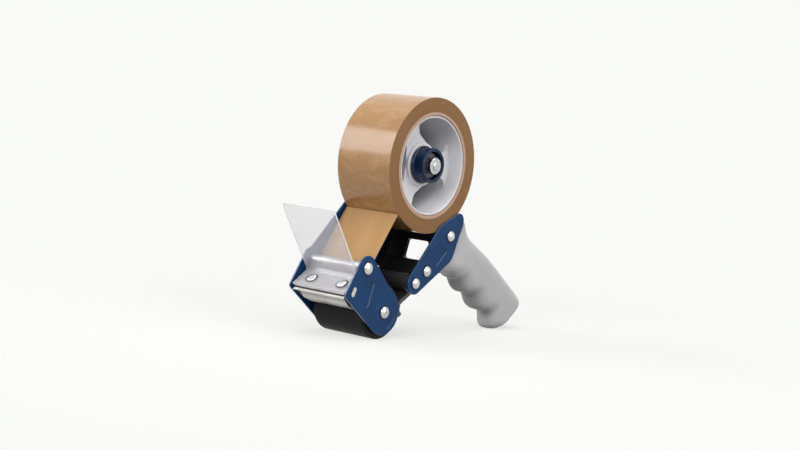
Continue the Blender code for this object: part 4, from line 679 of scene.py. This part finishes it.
def add_piece(name, bm, material, body, nodes, crisp=30.0, even=True):
    """Makes a bmesh a piece that stands for CAD nodes. It rides on its body, if that isn't None."""
    data = bpy.data.meshes.new(name)
    bm.to_mesh(data)
    bm.free()
    data.materials.append(material)
    data.shade_smooth()
    data.set_sharp_from_angle(angle=math.radians(crisp))
    piece = bpy.data.objects.new(name, data)
    bpy.context.scene.collection.objects.link(piece)
    if even:
        step = piece.modifiers.new("even_shading", "WEIGHTED_NORMAL")
        step.keep_sharp = True
        step.weight = 80
    if body:
        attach(piece, body)
    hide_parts(*nodes)
    return piece


def joined_copy(node):
    """The node's mesh with its loose triangles joined."""
    bm = bmesh.new()
    bm.from_mesh(NODES[node].data)
    bmesh.ops.remove_doubles(bm, verts=bm.verts, dist=SEAM_GAP)
    return bm


def merged_copy(node):
    """A joined copy whose flat faces are whole."""
    bm = joined_copy(node)
    bmesh.ops.dissolve_limit(bm, angle_limit=FLAT_WITHIN, verts=bm.verts, edges=bm.edges)
    return bm


def round_edges(bm, angle, width, segments, clamp=True, slide=True):
    """Rounds the edges that are sharper than an angle in degrees."""
    limit = math.radians(angle)
    sharp = [edge for edge in bm.edges if edge.is_manifold and edge.calc_face_angle(0.0) > limit]
    bmesh.ops.bevel(
        bm, geom=sharp, offset=width, offset_type="OFFSET", segments=segments, profile=0.5,
        affect="EDGES", material=-1, clamp_overlap=clamp, loop_slide=slide,
    )


def eased(node, name, material, body, width, segments=2, clamp=True, shape=None):
    """Copy of a node with its sharp edges rounded a little, as paint or a mould leaves them."""
    bm = merged_copy(node)
    if shape:
        shape(bm)
    round_edges(bm, 30.0, width, segments, clamp)
    return add_piece(name, bm, material, body, [node], crisp=38.0)


def pressed_deeper(bm):
    """Sinks the floors of the pressed panels and grooves in a plate's outer face."""
    outer = max(vert.co.x for vert in bm.verts)
    for vert in bm.verts:
        if abs(outer - vert.co.x - PANEL_DEPTH) < PANEL_DEPTH / 10:
            vert.co.x -= PRESSED_FURTHER


def longer_flange(bm):
    """Takes the shield's riveted flange on to the front edge of the flap."""
    ahead = max(vert.co.dot(FLAP_WAY) for vert in bm.verts)
    for vert in bm.verts:
        if ahead - vert.co.dot(FLAP_WAY) < FLANGE_END:
            vert.co += FLAP_WAY * FLANGE_STRETCH


def spin_round(bm, points, centre, steps, closed):
    """Spins a line or loop of points about the X axis through centre, and joins what meets."""
    verts = [bm.verts.new(point) for point in points]
    ends = verts[1:] + verts[:1] if closed else verts[1:]
    edges = [bm.edges.new(pair) for pair in zip(verts, ends)]
    bmesh.ops.spin(
        bm, geom=verts + edges, cent=centre, axis=(1, 0, 0), angle=math.tau, steps=steps,
        use_merge=True,
    )
    bmesh.ops.remove_doubles(bm, verts=bm.verts, dist=SEAM_GAP / 5)


def turned(name, profile, centre, material, body, nodes, steps=128):
    """Ring that is spun from a loop of (x, radius) points about the X axis through centre."""
    bm = bmesh.new()
    points = [(centre[0] + x, centre[1] + radius, centre[2]) for x, radius in profile]
    spin_round(bm, points, centre, steps, closed=True)
    bmesh.ops.recalc_face_normals(bm, faces=bm.faces)
    return add_piece(name, bm, material, body, nodes)


def spun(name, profile, apex, axis, material, body, node, socket):
    """Screw or rivet that is spun from (distance back from apex, radius) points about its axis."""
    turn = Vector((1, 0, 0)).rotation_difference(axis).to_matrix()
    bm = bmesh.new()
    points = [(-back, radius, 0) for back, radius in profile]
    spin_round(bm, points, (0, 0, 0), HEAD_STEPS, closed=False)
    if socket:
        sink_hex(bm, socket)
    bmesh.ops.recalc_face_normals(bm, faces=bm.faces)
    bmesh.ops.rotate(bm, verts=bm.verts, cent=(0, 0, 0), matrix=turn)
    bmesh.ops.translate(bm, verts=bm.verts, vec=apex)
    return add_piece(name, bm, material, body, [node], even=False)


def sink_hex(bm, size):
    """Sinks a hexagon socket into the open front end of a turned head."""
    rim = [edge for edge in bm.edges if edge.is_boundary]
    ring = bmesh.ops.create_circle(bm, cap_ends=False, segments=6, radius=size)["verts"]
    front = max(vert.co.x for edge in rim for vert in edge.verts)
    turn = Matrix.Rotation(math.pi / 2, 3, "Y")
    bmesh.ops.rotate(bm, verts=ring, cent=(0, 0, 0), matrix=turn)
    bmesh.ops.translate(bm, verts=ring, vec=(front, 0, 0))
    hexagon = list({edge for vert in ring for edge in vert.link_edges})
    bmesh.ops.bridge_loops(bm, edges=rim + hexagon)
    deeper = bmesh.ops.extrude_edge_only(bm, edges=hexagon)["geom"]
    verts = [item for item in deeper if isinstance(item, bmesh.types.BMVert)]
    bmesh.ops.translate(bm, verts=verts, vec=(-size / 2, 0, 0))
    floor = [item for item in deeper if isinstance(item, bmesh.types.BMEdge)]
    bmesh.ops.contextual_create(bm, geom=floor)


def domed(node, name, axis, height, materials, body, socket=0.0, grown=HEADS_GROWN):
    """Smooth domed screw or rivet in a node's place, with a thin rim round the dome painted dark as
    shadow.
    """
    axis = Vector(axis)
    points = [vert.co for vert in NODES[node].data.vertices]
    apex = max(points, key=lambda point: point.dot(axis))
    length = apex.dot(axis) - min(point.dot(axis) for point in points)

    def from_axis(point):
        return ((point - apex) - axis * (point - apex).dot(axis)).length

    radius = grown * max(from_axis(point) for point in points)
    tail = length - DOME_FOOT
    shank = max(from_axis(point) for point in points if (apex - point).dot(axis) > tail)
    rise = height - HEAD_RIM
    dome = radius - SEAT_RING
    profile = [] if socket else [(0, 0)]
    for k in range(1, DOME_STEPS):
        turn = math.pi / 2 * k / DOME_STEPS
        if dome * math.sin(turn) > socket * SOCKET_CLEARED:
            profile.append((rise * (1 - math.cos(turn)), dome * math.sin(turn)))
    less, more = RIM_ROUND
    profile += [
        (rise - DOME_FOOT, dome), (rise, radius - less), (rise + more, radius),
        (height - less, radius), (height, radius - more), (height, shank),
        (length - SHANK_CHAMFER, shank), (length, shank - SHANK_CHAMFER), (length, 0),
    ]
    piece = spun(name, profile, apex, axis, materials[0], body, node, socket)
    piece.data.materials.append(materials[1])
    # Faces of the rim round the dome take the painted shadow material
    for face in piece.data.polygons:
        face.material_index = int(from_axis(face.center) > dome + SHADOW_RING_MARGIN)


def softened(node, name, material, body):
    """Joined copy of a wire under a subdivision surface."""
    piece = add_piece(name, joined_copy(node), material, body, [node], crisp=80.0, even=False)
    step = piece.modifiers.new("smoother", "SUBSURF")
    step.levels = step.render_levels = 1
    return piece


def push(co, place, spread, shift, grows_from):
    """Moves a point by a soft bump in the side view, which may grow from an x to the far side."""
    away = ((co.y - place[0]) / spread[0]) ** 2 + ((co.z - place[1]) / spread[1]) ** 2
    share = math.exp(-away / 2)
    if grows_from:
        share *= min(1.0, max(0.0, (grows_from - co.x) / (PUSH_GROWS_OVER * grows_from)))
    co.y += shift[0] * share
    co.z += shift[1] * share


def reshaped_grip(bm):
    """Rounder far side of the heel, a lower last finger lobe, and a fuller back and neck."""
    for vert in bm.verts:
        start = vert.co.z
        for pushed in GRIP_PUSHES:
            push(vert.co, *pushed)
        vert.co.z = max(vert.co.z, min(start, 0.0))


def moulded(node, name, material, body, grain, shape):
    """Copy of a node with its surface laid again in even quads and smoothed, as a moulding's is."""
    bm = merged_copy(node)
    shape(bm)
    piece = add_piece(name, bm, material, body, [node], even=False)
    step = piece.modifiers.new("even_skin", "REMESH")
    step.mode = "VOXEL"
    step.voxel_size = grain
    step.use_smooth_shade = True
    step = piece.modifiers.new("soft_corners", "SMOOTH")
    step.factor = 0.5
    step.iterations = 3


# Pieces

def make_tape(film, edges, core, strip):
    half, outer = reach("tape_roll")[0], reach("tape_roll")[2]
    inner = reach("tape_core")[2] + TURNING_GAP
    lip = ROLL_LIP
    profile = [
        (-half, inner), (-half, outer - lip),
        (-half + lip / 3, outer - lip / 3), (-half + lip, outer),
        (half - lip, outer), (half - lip / 3, outer - lip / 3),
        (half, outer - lip), (half, inner),
    ]
    roll = turned("wound_tape", profile, ROLL_AXIS, film, TAPE_HUB, ["tape_roll"], steps=ROLL_STEPS)
    roll.data.materials.append(edges)
    for face in roll.data.polygons:
        if abs(face.normal.x) > 0.5:
            face.material_index = 1
    eased("tape_core", "wound_paper_core", core, TAPE_HUB, width=0.3 * MM)
    eased("tape_strip", "peeled_strip", strip, FRAME, width=0.06 * MM)


def make_roller(rubber, black):
    half, outer = reach("roller_rubber")[0], reach("roller_rubber")[2]
    inner = reach("roller_core")[2] + TURNING_GAP
    side, crown = half - ROLLER_LIP, outer - ROLLER_LIP
    turns = [math.pi / 2 * k / LIP_STEPS for k in range(1, LIP_STEPS)]
    profile = [(-half, inner), (-half, crown)]
    profile += [(-side - ROLLER_LIP * math.cos(t), crown + ROLLER_LIP * math.sin(t)) for t in turns]
    profile += [(-side, outer), (side, outer)]
    profile += [(side + ROLLER_LIP * math.sin(t), crown + ROLLER_LIP * math.cos(t)) for t in turns]
    profile += [(half, crown), (half, inner)]
    turned("rubber_sleeve", profile, ROLLER_AXIS, rubber, PRESS_ROLLER, ["roller_rubber"])
    eased("roller_core", "roller_spool", black, PRESS_ROLLER, width=0.3 * MM)


def arm_edge(share):
    """Half angle of a hub arm, which is waisted between boss (share 0) and wall (share 1)."""
    at_boss = max(0.0, 1 - share / WAIST_FROM) ** 2.6
    at_wall = max(0.0, (share - WAIST_TO) / (1 - WAIST_TO)) ** 2.4
    return ARM_WAIST + (ARM_AT_BOSS - ARM_WAIST) * at_boss + ARM_FLARE * at_wall


def arm_outline(wall):
    """Outline of the sunk web as (angle, radius) points, arm after arm."""
    start, end = HUB_BOSS - ARM_IN_BOSS, wall - ARM_IN_WALL
    rise = [start + (end - start) * k / ARM_STEPS for k in range(ARM_STEPS + 1)]
    edge = [arm_edge(k / ARM_STEPS) for k in range(ARM_STEPS + 1)]
    outline = []
    for arm in range(3):
        ahead = math.tau * arm / 3
        outline += [(ahead - half, radius) for half, radius in zip(edge, rise)]
        for k in range(1, ARM_END_STEPS):
            outline.append((ahead - edge[-1] + 2 * edge[-1] * k / ARM_END_STEPS, rise[-1]))
        outline += [(ahead + half, radius) for half, radius in zip(edge[::-1], rise[::-1])]
    return outline


def make_hub(plastic):
    """Drum with a thin front lip, a sunk web with three flared arms, and a tube behind it."""
    front, outer = reach("core_hub")[0], reach("core_hub")[2]
    back = -front
    wall, web = outer - HUB_WALL, front - HUB_WEB_SUNK
    behind, face = web - HUB_WEB, web + HUB_BOSS_PROUD
    centre = Vector((middle("core_hub").x, ROLL_AXIS.y, ROLL_AXIS.z))
    corner_rise, corner_width = WEB_CORNER
    wide, small = BOSS_ROUND
    drum = [
        (back + HUB_BACK_DRAFT, wall - HUB_BACK_DRAFT), (back + HUB_BACK_DRAFT, outer),
        (front - HUB_LIP, outer), (front, outer - HUB_LIP),
        (front, wall + HUB_LIP_INSIDE), (front - HUB_LIP_INSIDE, wall),
        (web + corner_rise, wall), (web, wall - corner_width),
    ]
    tube = [
        (back, HUB_BORE), (back, HUB_TUBE),
        (web - TUBE_SHOULDER, HUB_TUBE), (behind, HUB_TUBE + TUBE_FLARE),
        (behind, HUB_BOSS), (face - wide, HUB_BOSS),
        (face - small, HUB_BOSS - small), (face, HUB_BOSS - wide),
        (face, BOSS_RECESS + RECESS_SLOPE), (face - RECESS_DEPTH, BOSS_RECESS),
        (face - RECESS_DEPTH, HUB_POCKET), (web - POCKET_DEPTH, HUB_POCKET),
        (web - POCKET_DEPTH, HUB_BORE),
    ]
    turned("hub_drum", drum, centre, plastic, TAPE_HUB, ["core_hub"], steps=HUB_STEPS)
    turned("hub_boss_and_tube", tube, centre, plastic, TAPE_HUB, ["core_hub"])
    bm = bmesh.new()
    outline = arm_outline(wall)
    ring = [bm.verts.new((web, r * math.cos(turn), r * math.sin(turn))) for turn, r in outline]
    sunk = bmesh.ops.extrude_face_region(bm, geom=[bm.faces.new(ring)])["geom"]
    sunk = [item for item in sunk if isinstance(item, bmesh.types.BMVert)]
    bmesh.ops.translate(bm, verts=sunk, vec=(-HUB_WEB, 0, 0))
    bmesh.ops.recalc_face_normals(bm, faces=bm.faces)
    round_edges(bm, 60.0, ARM_ROUND, 3, slide=False)
    bmesh.ops.translate(bm, verts=bm.verts, vec=centre)
    add_piece("hub_arms", bm, plastic, TAPE_HUB, ["core_hub"])


def make_blade(steel):
    """Blade plate with each tooth ground to a ridge on both faces."""
    points = [vert.co for vert in NODES["cutting_blade"].data.vertices]
    ahead = max(point.dot(FLAP_WAY) for point in points)
    root = ahead - TOOTH_HEIGHT
    bm = merged_copy("cutting_blade")
    bmesh.ops.bisect_plane(
        bm, geom=bm.verts[:] + bm.edges[:] + bm.faces[:],
        plane_co=FLAP_WAY * root, plane_no=FLAP_WAY, clear_outer=True,
    )
    bmesh.ops.holes_fill(bm, edges=[edge for edge in bm.edges if edge.is_boundary], sides=0)
    foremost = [point.x for point in points if point.dot(FLAP_WAY) > ahead - TIPS_WITHIN]
    tips = sorted({round(x, 5) for x in foremost})
    pitch = (tips[-1] - tips[0]) / (len(tips) - 1)
    heights = [point.dot(FLAP_UP) for point in points]
    level = (max(heights) + min(heights)) / 2
    thick = max(heights) - min(heights)
    lay = Matrix((Vector((1, 0, 0)), FLAP_UP * -1, FLAP_WAY)).transposed()
    seat = FLAP_UP * level + FLAP_WAY * (root + TOOTH_HEIGHT / 2 - TOOTH_ROOTED / 2)
    for x in tips:
        tooth = bmesh.ops.create_cone(
            bm, cap_ends=True, segments=4, radius1=pitch / 2, radius2=TOOTH_TIP,
            depth=TOOTH_HEIGHT + TOOTH_ROOTED,
        )["verts"]
        bmesh.ops.scale(bm, verts=tooth, vec=(1, thick / pitch * TOOTH_FULLER, 1))
        bmesh.ops.rotate(bm, verts=tooth, cent=(0, 0, 0), matrix=lay)
        bmesh.ops.translate(bm, verts=tooth, vec=Vector((x, 0, 0)) + seat)
    add_piece("ground_blade", bm, steel, FRAME, ["cutting_blade"], crisp=10.0, even=False)


def make_fasteners(bright, seat_shadow):
    right, left = (1, 0, 0), (-1, 0, 0)
    both = (bright, seat_shadow)
    domed("flap_screw_near", "domed_flap_screw_near", right, HEAD_HEIGHT, both, FRAME)
    for node in ("handle_screw_top", "handle_screw_middle", "handle_screw_low"):
        domed(node, f"domed_{node}", right, HEAD_HEIGHT, both, FRAME, grown=HANDLE_HEADS_GROWN)
    for node in ("flap_screw_far", "frame_screw_top", "frame_screw_middle", "frame_screw_low"):
        domed(node, f"domed_{node}", left, HEAD_HEIGHT, both, FRAME)
    for node, way in (("roller_screw_near", right), ("roller_screw_far", left)):
        domed(node, f"socket_{node}", way, HEAD_HEIGHT, both, FRAME, socket=SOCKET_SIZE)
    for node in ("flap_rivet_near", "flap_rivet_far"):
        domed(node, f"domed_{node}", FLAP_UP, RIVET_HEIGHT, both, GUARD_FLAP)


def make_plates(navy, navy_edge):
    """Painted side plates, glossier round their edges and the walls of their pressed panels."""
    for node in ("frame_plate", "front_side_plate", "rear_side_plate"):
        name = f"painted_{node}"
        shape = None if node == "frame_plate" else pressed_deeper
        plate = eased(node, name, navy, FRAME, PLATE_EDGE, segments=3, clamp=False, shape=shape)
        plate.data.materials.append(navy_edge)
        for face in plate.data.polygons:
            face.material_index = int(abs(face.normal.x) < FLAT_FACING)


def make_flap(sheet, clear, cut_edge):
    """Pressed flap and its clear shield, with whiter cut edges."""
    eased("flap_plate", "pressed_flap", sheet, GUARD_FLAP, width=0.2 * MM)
    name = "polished_shield"
    shield = eased("clear_shield", name, clear, GUARD_FLAP, width=0.2 * MM, shape=longer_flange)
    shield.data.materials.append(cut_edge)
    top = max(vert.co.z for vert in shield.data.vertices) - SHIELD_TOP
    front = max(vert.co.dot(FLAP_WAY) for vert in shield.data.vertices) - SHIELD_LIP
    for face in shield.data.polygons:
        side = abs(face.normal.x) > EDGE_FACING
        lip = face.normal.dot(FLAP_WAY) > EDGE_FACING and face.center.dot(FLAP_WAY) > front
        head = face.normal.dot(FLAP_UP) > EDGE_FACING and face.center.z > top
        if side or lip or head:
            face.material_index = 1


def make_springs(bright):
    """Brake spring on the axle, and the flap's spring, which rides on no body and keeps its place.
    """
    softened("brake_spring", "brake_spring_wire", bright, FRAME)
    spring = softened("flap_spring", "flap_spring_wire", bright, None)
    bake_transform(spring)


def main():
    make_camera()
    make_studio()
    bright, black = bright_steel(), gloss_black()
    for node in ("hub_washer", "brake_washer", "roller_axle", "flap_shaft"):
        NODES[node].data.materials.clear()
        NODES[node].data.materials.append(bright)
    make_plates(navy_paint("navy_paint", 0.16, 0.03), navy_paint("navy_paint_edge", 0.5, 0.8))
    make_flap(flap_steel(), clear_acrylic(), polished_edge())
    eased("blade_holder", "bent_blade_holder", holder_steel(), FRAME, width=0.2 * MM)
    eased("tape_bed", "moulded_tape_bed", black, FRAME, width=0.4 * MM)
    make_hub(hub_plastic())
    eased("tension_knob", "moulded_knob", knob_plastic(), KNOB_UNIT, width=0.25 * MM)
    eased("knob_insert", "knob_insert_washer", black, KNOB_UNIT, width=0.2 * MM)
    eased("lock_nut", "chamfered_lock_nut", bright, KNOB_UNIT, width=0.3 * MM)
    eased("hub_axle", "turned_hub_axle", bright, FRAME, width=0.25 * MM)
    make_springs(bright)
    moulded("handle_grip", "moulded_grip", grey_grip(), FRAME, GRIP_GRAIN, reshaped_grip)
    make_blade(blade_steel())
    make_tape(tape_film(), tape_edges(), paper_core(), strip_film())
    make_roller(press_rubber(), black)
    make_fasteners(bright, seat_shadow_steel())


main()
